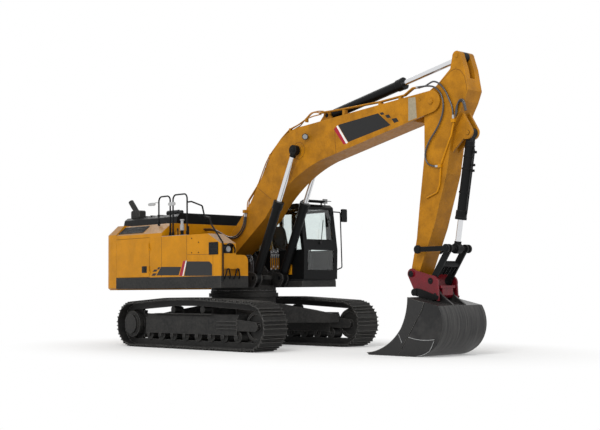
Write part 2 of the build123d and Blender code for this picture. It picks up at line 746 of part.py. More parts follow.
# House frame
def house_frame():
    """The revolving frame: ribbed deck, open between the lift cylinders, with boom brackets and lugs."""
    lug_outer = CAB_SIDE_LUG_OUTER
    outline = [
        (HOUSE_REAR, -HOUSE_HALF_WIDTH),
        (NOSE_X, -HOUSE_HALF_WIDTH),
        (NOSE_X, -NOSE_BOX_INNER),
        (CENTRE_GAP_X, -NOSE_BOX_INNER),
        (CENTRE_GAP_X, HOUSE_HALF_WIDTH),
        (HOUSE_REAR, HOUSE_HALF_WIDTH),
    ]
    corners = [(x, y, HOUSE_BOTTOM) for x, y in outline]
    floor = make_face(Polyline(*corners, close=True))
    deck = extrude(floor, amount=HOUSE_FLOOR - HOUSE_BOTTOM, dir=(0, 0, 1))
    deck -= block(CAB_REAR, NOSE_X, lug_outer, HOUSE_HALF_WIDTH + 1, CAB_DECK_Z, HOUSE_FLOOR + 1)
    cab_y = (CAB_RIGHT - 10, HOUSE_HALF_WIDTH)
    deck += block(CENTRE_GAP_X - 1, CAB_DECK_FRONT, *cab_y, HOUSE_BOTTOM, CAB_DECK_Z)
    for pocket in frame_pockets():
        deck -= pocket
    deck += rod_z(0, 0, TURNTABLE_RADIUS, TURNTABLE_Z, HOUSE_BOTTOM + 40)
    for side in (1, -1):
        bracket = boom_bracket() + lift_lugs()
        deck += bracket if side > 0 else mirrored(bracket)
    return deck


def frame_pockets():
    """The hollows between the ribs on the frame's underside: x from, x to, y from, y to, depth top."""
    rows = [
        (HOUSE_REAR, -1700, -HOUSE_HALF_WIDTH, -400, HOUSE_FLOOR),
        (-1700, -780, -HOUSE_HALF_WIDTH, -400, HOUSE_FLOOR),
        (-780, 150, -HOUSE_HALF_WIDTH, -NOSE_BOX_INNER, HOUSE_FLOOR),
        (150, NOSE_X, -HOUSE_HALF_WIDTH, -NOSE_BOX_INNER, HOUSE_FLOOR),
        (HOUSE_REAR, -1700, 400, HOUSE_HALF_WIDTH, HOUSE_FLOOR),
        (-1700, -780, 400, HOUSE_HALF_WIDTH, HOUSE_FLOOR),
        (-700, 320, 780, HOUSE_HALF_WIDTH, CAB_DECK_Z),
        (320, CAB_DECK_FRONT, 780, HOUSE_HALF_WIDTH, CAB_DECK_Z),
        (HOUSE_REAR, -1700, -400, 400, HOUSE_FLOOR),
    ]
    for x_low, x_high, y_low, y_high, top in rows:
        yield block(
            x_low + FRAME_RIB,
            x_high - FRAME_RIB,
            y_low + FRAME_RIB,
            y_high - FRAME_RIB,
            HOUSE_BOTTOM - 1,
            top - FRAME_SKIN,
        )


def boom_bracket():
    """The left upright plate that carries the boom's foot pin, with a bored round head."""
    y_low = BRACKET_INNER
    y_high = BRACKET_INNER + BRACKET_THICKNESS
    x, z = FOOT_PIN
    r = FOOT_RADIUS
    plate = plate_xz(
        y_low,
        y_high,
        (ENGINE_FRONT + 20, HOUSE_FLOOR - 1),
        (ENGINE_FRONT + 80, HOUSE_FLOOR + 130),
        (x - r * 0.8, z + r * 0.6),
        ((x, z + r), (x + r * 0.8, z + r * 0.6)),
        (CENTRE_GAP_X - 60, HOUSE_FLOOR + 90),
        (CENTRE_GAP_X, HOUSE_FLOOR - 1),
    )
    return plate - rod_y(FOOT_PIN, FOOT_PIN_RADIUS + PIN_GAP, y_low - 1, y_high + 1)


def lift_lugs():
    """The two left lug plates that hold a lift cylinder's foot, on a block at the frame's front."""
    eye_low = LIFT_Y - LIFT_EYE_WIDTH / 2 - SEAT_GAP
    eye_high = LIFT_Y + LIFT_EYE_WIDTH / 2 + SEAT_GAP
    x, z = LIFT_BASE
    r = LIFT_EYE_RADIUS
    lugs = None
    for low, high in ((BRACKET_INNER, eye_low), (eye_high, CAB_SIDE_LUG_OUTER)):
        plate = plate_xz(
            low,
            high,
            (CENTRE_GAP_X - 200, HOUSE_BOTTOM),
            (x, HOUSE_BOTTOM),
            (x + r, z - 60),
            ((x + r * 0.7, z + r * 0.7), (x, z + r)),
            (CENTRE_GAP_X - 40, HOUSE_FLOOR + 90),
            (CENTRE_GAP_X - 200, HOUSE_FLOOR),
        )
        plate -= rod_y(LIFT_BASE, EYE_PIN_RADIUS + PIN_GAP, low - 1, high + 1)
        lugs = plate if lugs is None else lugs + plate
    return lugs


# Cylinders
def barrel(base, eye, y, radius, length, eye_radius, eye_width, rod_radius, pin_reach):
    """A cylinder barrel: foot eye on its pin, tube and gland, bored for the rod from the gland end."""
    tube_start = toward(base, eye, eye_radius + NECK_LENGTH)
    gland_start = toward(base, eye, length - GLAND_LENGTH)
    gland_end = toward(base, eye, length)
    half = eye_width / 2
    body = link_plate(base, tube_start, y - half, y + half, radius * 0.6, radius * 0.6)
    body += bar_between(tube_start, gland_start, radius, y)
    body += bar_between(gland_start, gland_end, radius + GLAND_EXTRA, y)
    ring_start = toward(base, eye, length - GLAND_RING_LENGTH)
    body += bar_between(ring_start, gland_end, radius + GLAND_RING_EXTRA, y)
    body += rod_y(base, eye_radius, y - eye_width / 2, y + eye_width / 2)
    body += rod_y(base, EYE_PIN_RADIUS, y - pin_reach, y + pin_reach)
    bore_start = toward(base, eye, eye_radius + SLAB_GAP)
    return body - bar_between(bore_start, toward(base, eye, length + 1), rod_radius + SEAT_GAP, y)


def rod(base, eye, y, radius, start, eye_radius, eye_width, pin_low, pin_high):
    """A piston rod from a start inside the barrel, and its eye with a collar and the eye's own pin."""
    inner = toward(base, eye, start)
    collar_end = toward(eye, base, eye_radius + ROD_COLLAR_LENGTH)
    stem = bar_between(inner, toward(eye, base, eye_radius + ROD_COLLAR_LENGTH + SEAT_GAP), radius, y)
    head = bar_between(collar_end, toward(eye, base, eye_radius * 0.6), radius + ROD_COLLAR_EXTRA, y)
    head += rod_y(eye, eye_radius, y - eye_width / 2, y + eye_width / 2)
    return stem, head + rod_y(eye, EYE_PIN_RADIUS, pin_low, pin_high)


def lift_barrel():
    lug_reach = LIFT_EYE_WIDTH / 2 + SEAT_GAP + LUG_THICKNESS
    return barrel(
        LIFT_BASE, LIFT_EYE, -LIFT_Y, LIFT_BARREL_RADIUS, LIFT_BARREL_LENGTH,
        LIFT_EYE_RADIUS, LIFT_EYE_WIDTH, LIFT_ROD_RADIUS, lug_reach,
    )


def lift_rod():
    inner = -(BOOM_HALF + BOOM_BOSS + SLAB_GAP)
    outer = -(LIFT_Y + LIFT_EYE_WIDTH / 2 + 14)
    return rod(
        LIFT_BASE, LIFT_EYE, -LIFT_Y, LIFT_ROD_RADIUS, LIFT_BARREL_LENGTH - LIFT_ROD_INSIDE,
        LIFT_EYE_RADIUS, LIFT_EYE_WIDTH, outer, inner,
    )


def centre_lug_reach():
    return CENTRE_EYE_WIDTH / 2 + SEAT_GAP + CENTRE_LUG_THICKNESS


def stick_barrel():
    return barrel(
        STICK_BASE, STICK_EYE, 0, STICK_BARREL_RADIUS, STICK_BARREL_LENGTH,
        EYE_RADIUS, CENTRE_EYE_WIDTH, STICK_ROD_RADIUS, centre_lug_reach(),
    )


def stick_rod():
    half = CENTRE_EYE_WIDTH / 2
    return rod(
        STICK_BASE, STICK_EYE, 0, STICK_ROD_RADIUS, STICK_BARREL_LENGTH - STICK_ROD_INSIDE,
        EYE_RADIUS, CENTRE_EYE_WIDTH, -half - 4, half + 4,
    )


def bucket_barrel():
    return barrel(
        BUCKET_BASE, BUCKET_EYE, 0, BUCKET_BARREL_RADIUS, BUCKET_BARREL_LENGTH,
        EYE_RADIUS, CENTRE_EYE_WIDTH, BUCKET_ROD_RADIUS, centre_lug_reach(),
    )


def bucket_rod():
    reach = POWER_LINK_Y[0] - SLAB_GAP
    return rod(
        BUCKET_BASE, BUCKET_EYE, 0, BUCKET_ROD_RADIUS, BUCKET_BARREL_LENGTH - BUCKET_ROD_INSIDE,
        EYE_RADIUS, CENTRE_EYE_WIDTH, -reach, reach,
    )


# Boom
def boom():
    """The bent box boom with its foot pin, tip fork, lift bosses and arm cylinder lugs."""
    body = plate_xz(
        -BOOM_HALF,
        BOOM_HALF,
        (-145, 1862),
        (1000, 2706),
        ((1800, 3398), (2700, 3785)),
        (5600, 4394),
        ((5760, 4590), BOOM_TOP_FRONT),
        BOOM_TOP_REAR,
        ((1560, 4345), (1100, 3860)),
        (520, 3048),
        (-383, 2156),
        ((-438, 2000), (-145, 1862)),
    )
    slot_half = ARM_HALF + FORK_GAP
    x, z = ARM_PIN
    slot = block(x - FORK_DEPTH, x + 400, -slot_half, slot_half, z - 900, z + 600)
    body -= slot
    body += rod_y(FOOT_PIN, FOOT_PIN_RADIUS, -bracket_outer(), bracket_outer())
    body += rod_y(ARM_PIN, EYE_PIN_RADIUS + 10, -BOOM_HALF - 20, BOOM_HALF + 20)
    for side in (-1, 1):
        low, high = sorted((side * (BOOM_HALF - 1), side * (BOOM_HALF + BOOM_BOSS)))
        body += rod_y(LIFT_EYE, LIFT_EYE_RADIUS, low, high)
        body += stick_lug(side)
    return body


def bracket_outer():
    return BRACKET_INNER + BRACKET_THICKNESS + 8


def stick_lug(side):
    """One lug plate on the boom's top for the arm cylinder's foot."""
    near = side * (CENTRE_EYE_WIDTH / 2 + SEAT_GAP)
    far = near + side * CENTRE_LUG_THICKNESS
    low, high = sorted((near, far))
    x, z = STICK_BASE
    plate = plate_xz(
        low,
        high,
        (x - 260, z - 170),
        (x - EYE_RADIUS, z),
        ((x, z + EYE_RADIUS), (x + EYE_RADIUS, z)),
        (x + 220, z - 150),
    )
    return plate - rod_y(STICK_BASE, EYE_PIN_RADIUS + PIN_GAP, low - 1, high + 1)


# Arm
def arm():
    """The arm: boss on the boom's tip pin, forked horn, bucket cylinder lugs and tapered box."""
    body = plate_xz(
        -ARM_HALF,
        ARM_HALF,
        (4975, 1495),
        (5130, 2119),
        (5207, 2710),
        (5343, 3629),
        (5361, 4600),
        ((5440, 4750), (5645, 4861)),
        (5976, 5128),
        (6028, 5340),
        ((6120, 5432), (6212, 5350)),
        (6294, 5100),
        (6366, 4702),
        (6280, 4500),
        (5992, 4014),
        (5852, 3251),
        (5531, 2299),
        (5163, 1470),
        ((5066, 1379), (4975, 1495)),
    )
    half = CENTRE_EYE_WIDTH / 2 + SLAB_GAP + 5
    x, z = STICK_EYE
    body -= block(x - 500, x + 400, -half, half, z - EYE_SLOT_DEPTH, z + 300)
    body -= rod_y(ARM_PIN, EYE_PIN_RADIUS + 10 + PIN_GAP, -ARM_HALF - 1, ARM_HALF + 1)
    body -= rod_y(BUCKET_PIN, EYE_PIN_RADIUS + PIN_GAP, -ARM_HALF - 1, ARM_HALF + 1)
    for side in (-1, 1):
        body += bucket_lug(side)
    return body


def bucket_lug(side):
    """One lug on the arm's front for the bucket cylinder's foot."""
    near = side * (CENTRE_EYE_WIDTH / 2 + SEAT_GAP)
    far = near + side * CENTRE_LUG_THICKNESS
    low, high = sorted((near, far))
    x, z = BUCKET_BASE
    plate = plate_xz(
        low,
        high,
        (x - 120, z + 420),
        (x + EYE_RADIUS, z + 60),
        ((x + EYE_RADIUS * 0.8, z - EYE_RADIUS * 0.7), (x - EYE_RADIUS, z - EYE_RADIUS)),
        (x - 360, z - 330),
        (x - 420, z - 200),
    )
    return plate - rod_y(BUCKET_BASE, EYE_PIN_RADIUS + PIN_GAP, low - 1, high + 1)


# Bucket linkage
def side_link():
    """The right outer link, with its pin stub against the arm and one that carries the power link."""
    low, high = -SIDE_LINK_Y[1], -SIDE_LINK_Y[0]
    link = link_plate(SIDE_LINK_PIN, BUCKET_EYE, low, high, LINK_RADIUS, LINK_WAIST)
    link += rod_y(SIDE_LINK_PIN, EYE_PIN_RADIUS - 5, low, -ARM_HALF - PIN_GAP)
    link += rod_y(SIDE_LINK_PIN, LINK_RADIUS - 14, low - 14, low + 1)
    link += rod_y(BUCKET_EYE, EYE_PIN_RADIUS, low - 16, -POWER_LINK_Y[0])
    return link


def power_link():
    """The H shaped link from the bucket cylinder's eye to the coupler: two plates and a cross tube."""
    link = None
    for side in (-1, 1):
        low, high = sorted((side * POWER_LINK_Y[0], side * POWER_LINK_Y[1]))
        plate = link_plate(BUCKET_EYE, COUPLER_PIN, low, high, LINK_RADIUS, LINK_WAIST + 16)
        plate -= rod_y(BUCKET_EYE, EYE_PIN_RADIUS + PIN_GAP, low - 1, high + 1)
        link = plate if link is None else link + plate
    middle = toward(BUCKET_EYE, COUPLER_PIN, 330)
    return link + rod_y(middle, LINK_TUBE_RADIUS, -POWER_LINK_Y[0] - 1, POWER_LINK_Y[0] + 1)


def coupler():
    """The quick coupler: two ears on the arm and link pins, a base between them and two hooks."""
    low, high = EAR_Y
    x, z = BUCKET_PIN
    cx, cz = COUPLER_PIN
    r = EAR_RADIUS
    ear = plate_xz(
        low,
        high,
        (x - r, z - 20),
        ((x, z + r), (x + r * 0.7, z + r * 0.7)),
        (cx + 20, cz + r),
        ((cx + 130, cz + 60), (cx + 165, cz - 60)),
        (cx + 182, bucket_top(cx + 182) + EAR_FLOOR_GAP),
        (cx + 100, bucket_top(cx + 100) + EAR_FLOOR_GAP),
        (x + 80, EAR_BOTTOM),
    )
    body = ear + mirrored(ear)
    top = BASE_PLATE_Z
    bottom = BASE_PLATE_Z - BASE_PLATE_THICKNESS
    body += block(x + 20, x + BASE_FRONT_LENGTH, -low - 1, low + 1, bottom, top)
    inner = POWER_LINK_Y[0] - SLAB_GAP - 3
    body += block(x + 20, cx + 170, -inner, inner, bottom, top)
    hook_half = BUCKET_EAR_Y[0] - 4
    pin_end = BUCKET_EAR_Y[1] + 8
    for centre in (FRONT_BUCKET_PIN, REAR_BUCKET_PIN):
        px, pz = centre
        body += block(px - 80, px + 80, -hook_half, hook_half, pz, bottom + 1)
        body += rod_y(centre, 80, -hook_half, hook_half)
        body += rod_y(centre, BUCKET_PIN_RADIUS, -pin_end, pin_end)
    return body + rod_y(BUCKET_PIN, EYE_PIN_RADIUS, -high - 24, high + 24)


def bucket_top(x):
    """Height of the bucket's top plate at an X."""
    (front_x, front_z), (rear_x, rear_z) = BUCKET_TOP_FRONT, BUCKET_TOP_REAR
    return front_z + (rear_z - front_z) * (x - front_x) / (rear_x - front_x)


# Bucket
def bucket_outer(y_low, y_high):
    """The bucket's side form: top plate, round back, flat floor and a mouth edge that sweeps to the tip."""
    return plate_xz(
        y_low,
        y_high,
        BUCKET_TOP_FRONT,
        BUCKET_TOP_REAR,
        ((6050, 560), (5760, 105)),
        ((5570, 22), (5350, 0)),
        (BUCKET_TIP_X + 60, 0),
        (BUCKET_TIP_X, EDGE_THICKNESS),
        ((4760, 210), (5068, 485)),
        ((5190, 740), BUCKET_TOP_FRONT),
    )


def bucket():
    """The open shell with its two ears round the coupler's pins."""
    shell = bucket_outer(-BUCKET_HALF, BUCKET_HALF)
    inner_half = BUCKET_HALF - BUCKET_SIDE_WALL
    w = BUCKET_WALL
    shell -= plate_xz(
        -inner_half,
        inner_half,
        (5200, BUCKET_TOP_FRONT[1] - w),
        (BUCKET_TOP_REAR[0] - 25, BUCKET_TOP_REAR[1] - w),
        ((6050 - w, 560), (5745, 105 + w)),
        ((5560, 22 + w), (5350, w)),
        (4300, w),
        (3900, w),
        (3900, BUCKET_TOP_FRONT[1] - w),
    )
    shell -= block(5040, 5300, -inner_half, inner_half, 500, 980)
    for side in (-1, 1):
        shell += bucket_ear(side)
    return shell


def bucket_ear(side):
    low, high = sorted((side * BUCKET_EAR_Y[0], side * BUCKET_EAR_Y[1]))
    fx, fz = FRONT_BUCKET_PIN
    rx, rz = REAR_BUCKET_PIN
    r = BUCKET_EAR_RADIUS
    plate = plate_xz(
        low,
        high,
        (fx - r, fz - 10),
        ((fx, fz + r), (fx + r, fz)),
        (rx - r, rz + 30),
        ((rx, rz + r), (rx + r, rz)),
        (rx + 335, bucket_top(rx + 335) + 15),
        (rx + 350, bucket_top(rx + 350) - 27),
        (fx + 170, bucket_top(fx + 170) - 14),
    )
    for centre in (FRONT_BUCKET_PIN, REAR_BUCKET_PIN):
        plate -= rod_y(centre, BUCKET_PIN_RADIUS + SEAT_GAP, low - 1, high + 1)
    return plate


def bucket_plates():
    """The wear plates on the bucket's sides: a cutter along the mouth and a heel plate at the floor."""
    low = -BUCKET_HALF - SEAT_GAP - SIDE_PLATE_THICKNESS
    high = -BUCKET_HALF - SEAT_GAP
    cutter = plate_xz(
        low,
        high,
        (BUCKET_TIP_X + 70, 6),
        (BUCKET_TIP_X + 30, EDGE_THICKNESS),
        ((4780, 205), (5085, 480)),
        ((5207, 740), (5262, 1042)),
        (5640, 961),
        (5590, 830),
        (5050, 70),
        (4990, 6),
    )
    heel = plate_xz(
        low,
        high,
        (5060, 60),
        (5262, 345),
        ((5560, 300), (5868, 318)),
        ((5810, 205), (5750, 112)),
        ((5566, 30), (5350, 8)),
        (5020, 8),
    )
    plates = []
    for plate in (cutter, heel):
        plates += [plate, mirrored(plate)]
    return plates


# Upper body
def roof_section(inset):
    """Corner points (y, z) of the body's roof, from the right eave to the left one, moved inward."""
    half = HOUSE_HALF_WIDTH - inset
    return [
        (-half, EAVE_Z),
        (-half, SHOULDER_Z - inset * 0.4),
        (-half + ROOF_INSET, ROOF_Z - inset),
        (half - ROOF_INSET, ROOF_Z - inset),
        (half, SHOULDER_Z - inset * 0.4),
        (half, EAVE_Z),
    ]


def body_extrusion(points, x_low, x_high):
    profile = make_face(Polyline(*[(x_low, y, z) for y, z in points], close=True))
    return extrude(profile, amount=x_high - x_low, dir=(1, 0, 0))


def engine_room():
    """The fixed shell round the engine: side walls behind the doors, sloped roof and front wall."""
    rear = HOUSE_REAR
    front = ENGINE_FRONT
    shell = body_extrusion(roof_section(0), rear, front)
    shell += block(rear, front, -WALL_OUTER, WALL_OUTER, HOUSE_FLOOR, EAVE_Z)
    cavity = body_extrusion(roof_section(BODY_WALL), rear - 1, front - BODY_WALL)
    inner = WALL_OUTER - BODY_WALL
    shell -= block(rear - 1, front - BODY_WALL, -inner, inner, HOUSE_FLOOR - 1, EAVE_Z + 1)
    shell -= cavity & block(rear - 1, front, -inner, inner, EAVE_Z, ROOF_Z)
    shell -= block(HOOD_REAR + 60, front - 80, -HOOD_HALF + 60, HOOD_HALF - 60, EAVE_Z, ROOF_Z + 1)
    shell -= block(TANK_REAR, front + 1, -HOUSE_HALF_WIDTH, -TANK_INNER, HOUSE_FLOOR - 1, EAVE_Z)
    for x_low, x_high, side, _ in door_rows():
        low, high = sorted((side * (inner - 1), side * (WALL_OUTER + 1)))
        shell -= block(x_low + 70, x_high - 70, low, high, DOOR_BOTTOM + 70, EAVE_Z - 75)
    pillar_rear = LEFT_DOOR_SPLIT
    shell += block(
        pillar_rear, pillar_rear + DOOR_PILLAR, WALL_OUTER - 1, HOUSE_HALF_WIDTH, HOUSE_FLOOR, EAVE_Z + 1,
    )
    return shell


def door_rows():
    """The side doors: x from, x to, side, and which end is hinged (1 front, -1 rear)."""
    return [
        (HOUSE_REAR + DOOR_GAP, TANK_REAR - DOOR_GAP, -1, 1),
        (HOUSE_REAR + DOOR_GAP, LEFT_DOOR_SPLIT - DOOR_GAP, 1, -1),
        (LEFT_DOOR_SPLIT + DOOR_PILLAR + DOOR_GAP, ENGINE_FRONT - DOOR_GAP, 1, -1),
    ]


def side_door(x_low, x_high, side, hinged_end):
    """A side door with two hinge barrels outside, at its front or rear edge."""
    low, high = sorted((side * (WALL_OUTER + DOOR_SEAT_GAP), side * HOUSE_HALF_WIDTH))
    door = block(x_low, x_high, low, high, DOOR_BOTTOM, EAVE_Z - DOOR_GAP)
    y = side * (HOUSE_HALF_WIDTH + HINGE_OFFSET)
    hinge_x = hinge_line(x_low, x_high, hinged_end)
    for z in hinge_heights():
        knuckle = rod_z(hinge_x, y, HINGE_RADIUS, z, z + HINGE_HEIGHT)
        low, high = sorted((side * (HOUSE_HALF_WIDTH - 2), y))
        leaf_low, leaf_high = sorted((hinge_x, hinge_x - hinged_end * 30))
        door += knuckle + block(leaf_low, leaf_high, low, high, z, z + HINGE_HEIGHT)
    return door


def hinge_heights():
    return (DOOR_BOTTOM + 120, EAVE_Z - 240)


def hinge_seat(x, face_y, side, toward_fixed, z):
    """The fixed half of a hinge: a knuckle under the door's one, on a leaf fixed to the next panel."""
    y = side * (face_y + HINGE_OFFSET)
    low = z - SEAT_GAP - HINGE_SEAT_HEIGHT
    high = z - SEAT_GAP
    seat_half = rod_z(x, y, HINGE_RADIUS, low, high)
    far = x + toward_fixed * (HINGE_RADIUS + DOOR_GAP + 25)
    near = x + toward_fixed * (HINGE_RADIUS + DOOR_GAP + 3)
    bridge_x = sorted((x, far))
    bridge_y = sorted((side * (face_y + HINGE_OFFSET - HINGE_LEAF), y))
    seat_half += block(*bridge_x, *bridge_y, low, high)
    foot_x = sorted((near, far))
    foot_y = sorted((side * face_y, y))
    return seat_half + block(*foot_x, *foot_y, low, high)


def door_hinges():
    """The fixed hinge halves of the side doors, the cab door and the hood."""
    solids = []
    for x_low, x_high, side, hinged_end in door_rows():
        x = hinge_line(x_low, x_high, hinged_end)
        for z in hinge_heights():
            solids.append(hinge_seat(x, HOUSE_HALF_WIDTH, side, hinged_end, z))
    for z in cab_hinge_heights():
        solids.append(hinge_seat(CAB_DOOR_REAR, CAB_LEFT, 1, -1, z))
    for y in HOOD_HINGES:
        solids.append(hood_hinge_seat(y))
    return solids


def hood_hinge_seat(y):
    """The fixed half of a hood hinge, on the cowl's top."""
    x = HOOD_REAR + DOOR_GAP + HINGE_RADIUS
    z = HOOD_TOP + HINGE_OFFSET
    low = y - SEAT_GAP - HINGE_SEAT_HEIGHT
    high = y - SEAT_GAP
    seat_half = rod_y((x, z), HINGE_RADIUS, low, high)
    seat_half += block(HOOD_REAR - 30, x, low, high, z - HINGE_LEAF, z)
    return seat_half + block(HOOD_REAR - 30, HOOD_REAR - 3, low, high, HOOD_TOP, z)


def hinge_line(x_low, x_high, hinged_end):
    """X of a side door's hinge axis."""
    return x_high - HINGE_RADIUS if hinged_end > 0 else x_low + HINGE_RADIUS


def tank():
    """The right tank with a flat deck, beside the boom."""
    return block(TANK_REAR, BAY_REAR, -HOUSE_HALF_WIDTH, -TANK_INNER, HOUSE_FLOOR, EAVE_Z)


def nose_bay():
    """The right front bay: a tall outer part that slopes down forward, and a lower step box beside it."""
    tall = plate_xz(
        -HOUSE_HALF_WIDTH,
        -NOSE_UPPER_INNER,
        (BAY_REAR, HOUSE_FLOOR),
        (NOSE_X, HOUSE_FLOOR),
        (NOSE_X, NOSE_TOP),
        (NOSE_SLOPE_X, EAVE_Z),
        (BAY_REAR, EAVE_Z),
    )
    low_box = block(BAY_REAR, NOSE_X, -NOSE_UPPER_INNER - 1, -NOSE_BOX_INNER, HOUSE_FLOOR, NOSE_BOX_TOP)
    edge = low_box.edges().filter_by(Axis.X).sort_by(Axis.Z)[-2:].sort_by(Axis.Y)[-1]
    nose = tall + fillet(edge, NOSE_CORNER)
    nose -= lamp_recess()
    steps_y = (-HOUSE_HALF_WIDTH + 85, -NOSE_BOX_INNER - 215)
    return nose - block(NOSE_X - STEP_RECESS, NOSE_X + 1, *steps_y, HOUSE_FLOOR - 1, STEP_RECESS_TOP)


def lamp_recess():
    """The hollow for the lamp in the front of the nose's tall part."""
    y = (-HOUSE_HALF_WIDTH + 75, -NOSE_UPPER_INNER - 40)
    return block(NOSE_X - NOSE_RECESS, NOSE_X + 1, *y, NOSE_TOP - 205, NOSE_TOP - 25)


def slotted_plate(length, width, slots):
    """A plate from one corner, along X and Y, with a row of blind slots across its width."""
    plate = Box(length, width, GRILLE_THICKNESS, align=(Align.MIN, Align.MIN, Align.MIN))
    pitch = (length - 2 * GRILLE_EDGE) / slots
    depth = GRILLE_THICKNESS * 0.6
    for index in range(slots):
        slot = Box(pitch * 0.55, width - 2 * GRILLE_EDGE, depth + 1, align=(Align.MIN, Align.MIN, Align.MIN))
        plate -= Pos(GRILLE_EDGE + pitch * (index + 0.22), GRILLE_EDGE, GRILLE_THICKNESS - depth) * slot
    return plate


def roof_grille():
    """The black grille on the right slope of the engine room's roof."""
    rise = ROOF_Z - SHOULDER_Z
    slope = math.hypot(ROOF_INSET, rise)
    across = (ROOF_INSET / slope, rise / slope)
    start = (slope - ROOF_GRILLE_WIDTH) / 2
    y = -HOUSE_HALF_WIDTH + start * across[0] - SEAT_GAP * across[1]
    z = SHOULDER_Z + start * across[1] + SEAT_GAP * across[0]
    seat = Plane(origin=(HOUSE_REAR + 40, y, z), x_dir=(1, 0, 0), z_dir=(0, -across[1], across[0]))
    return seat * slotted_plate(ROOF_GRILLE_LENGTH, ROOF_GRILLE_WIDTH, ROOF_GRILLE_SLOTS)


def nose_vent():
    """The black vent on the right side of the nose."""
    corner = (NOSE_VENT_X, -HOUSE_HALF_WIDTH - SEAT_GAP, NOSE_VENT_Z + NOSE_VENT_HEIGHT)
    seat = Plane(origin=corner, x_dir=(0, 0, -1), z_dir=(0, -1, 0))
    return seat * slotted_plate(NOSE_VENT_HEIGHT, NOSE_VENT_WIDTH, NOSE_VENT_SLOTS)


def counterweight():
    """The tail weight: round at the back, undercut below and chamfered above."""
    rear_corner = math.sqrt(TAIL_RADIUS**2 - HOUSE_HALF_WIDTH**2)
    y = HOUSE_HALF_WIDTH
    edges = [
        Line((HOUSE_REAR, -y, TAIL_BOTTOM), (-rear_corner, -y, TAIL_BOTTOM)),
        ThreePointArc(
            (-rear_corner, -y, TAIL_BOTTOM), (-TAIL_RADIUS, 0, TAIL_BOTTOM), (-rear_corner, y, TAIL_BOTTOM),
        ),
        Line((-rear_corner, y, TAIL_BOTTOM), (HOUSE_REAR, y, TAIL_BOTTOM)),
        Line((HOUSE_REAR, y, TAIL_BOTTOM), (HOUSE_REAR, -y, TAIL_BOTTOM)),
    ]
    weight = extrude(make_face(Wire(edges)), amount=TAIL_TOP - TAIL_BOTTOM, dir=(0, 0, 1))
    corners = weight.edges().filter_by(Axis.Z).sort_by(Axis.X)[:2]
    side_depth = rear_corner + HOUSE_REAR
    weight = fillet(corners, min(TAIL_CORNER, side_depth * 0.7))
    rear = (Axis.X, -TAIL_RADIUS - 1, HOUSE_REAR - 1)
    top = weight.faces().sort_by(Axis.Z)[-1].edges().filter_by_position(*rear)
    weight = chamfer(top, min(TAIL_TOP_CHAMFER, side_depth * 0.6))
    low = weight.faces().sort_by(Axis.Z)[0].edges().filter_by_position(*rear)
    return chamfer(low, TAIL_BOTTOM_CHAMFER)


def hood():
    """The hinged engine hood over the roof opening: a shallow lid with sloped sides."""
    low = ROOF_Z + SEAT_GAP
    half = HOOD_HALF
    points = [(-half, low), (-half + 30, HOOD_TOP - 60), (-half + 110, HOOD_TOP)]
    points += [(-y, z) for y, z in reversed(points)]
    lid = body_extrusion(points, HOOD_REAR + DOOR_GAP, ENGINE_FRONT)
    inner = [(-half + 40, low - 1), (-half + 75, HOOD_TOP - 90), (-half + 130, HOOD_TOP - 40)]
    inner += [(-y, z) for y, z in reversed(inner)]
    lid -= body_extrusion(inner, HOOD_REAR + DOOR_GAP + 40, ENGINE_FRONT - 40)
    x = HOOD_REAR + DOOR_GAP + HINGE_RADIUS
    z = HOOD_TOP + HINGE_OFFSET
    for y in HOOD_HINGES:
        end = y + HINGE_HEIGHT
        lid += rod_y((x, z), HINGE_RADIUS, y, end) + block(x, x + 30, y, end, HOOD_TOP - 2, z)
    return lid


def cowl():
    """The fixed cover behind the hood, over the roof and the counterweight."""
    low = TAIL_TOP + SEAT_GAP
    half = HOOD_HALF
    points = [(-half, low), (-half + 30, HOOD_TOP - 60), (-half + 110, HOOD_TOP)]
    points += [(-y, z) for y, z in reversed(points)]
    cover = body_extrusion(points, COWL_REAR, HOUSE_REAR)
    points = [(y, ROOF_Z + SEAT_GAP if z == low else z) for y, z in points]
    return cover + body_extrusion(points, HOUSE_REAR, HOOD_REAR)


def left_bay():
    """The left bay between the engine room and the cab."""
    return block(ENGINE_FRONT, LEFT_BAY_FRONT, LEFT_BAY_INNER, HOUSE_HALF_WIDTH, HOUSE_FLOOR, EAVE_Z)


def engine_block():
    length, width, height = ENGINE_SIZE
    x = HOUSE_REAR + ENGINE_SPACE
    low = HOUSE_FLOOR
    return block(x, x + length, ENGINE_Y - width / 2, ENGINE_Y + width / 2, low, low + height)


def exhaust():
    """The exhaust: a box on the cowl with an open pipe that slants up to the rear."""
    length, width, height = EXHAUST_BOX
    x = HOUSE_REAR - EXHAUST_REACH
    low = HOOD_TOP + SEAT_GAP
    y = EXHAUST_Y
    start = (x + length * 0.45, low + height * 0.55)
    end = (x - EXHAUST_SLANT, HOOD_TOP + EXHAUST_RISE)
    body = block(x, x + length, y - width / 2, y + width / 2, low, low + height)
    body = chamfer(body.edges().filter_by(Axis.Y).sort_by(Axis.Z)[-2:], 30)
    body += bar_between(start, end, EXHAUST_RADIUS, y)
    beyond = toward(end, start, -1)
    return body - bar_between(toward(end, start, 140), beyond, EXHAUST_RADIUS - EXHAUST_WALL, y)


# Cab
def cab_outline(offset):
    """The cab's side form, moved inward by a wall."""
    o = offset
    return [
        (CAB_REAR + o, CAB_BOTTOM + o),
        (CAB_FRONT - o - 20, CAB_BOTTOM + o),
        (CAB_FRONT - o, CAB_BELT),
        (CAB_ROOF_FRONT - o + 30, CAB_ROOF - 60 - o * 0.6),
        (CAB_ROOF_FRONT - o - 60, CAB_ROOF - o),
        (CAB_REAR + 130 + o * 0.4, CAB_ROOF - o),
        (CAB_REAR + o, CAB_ROOF - 130 - o * 0.4),
    ]


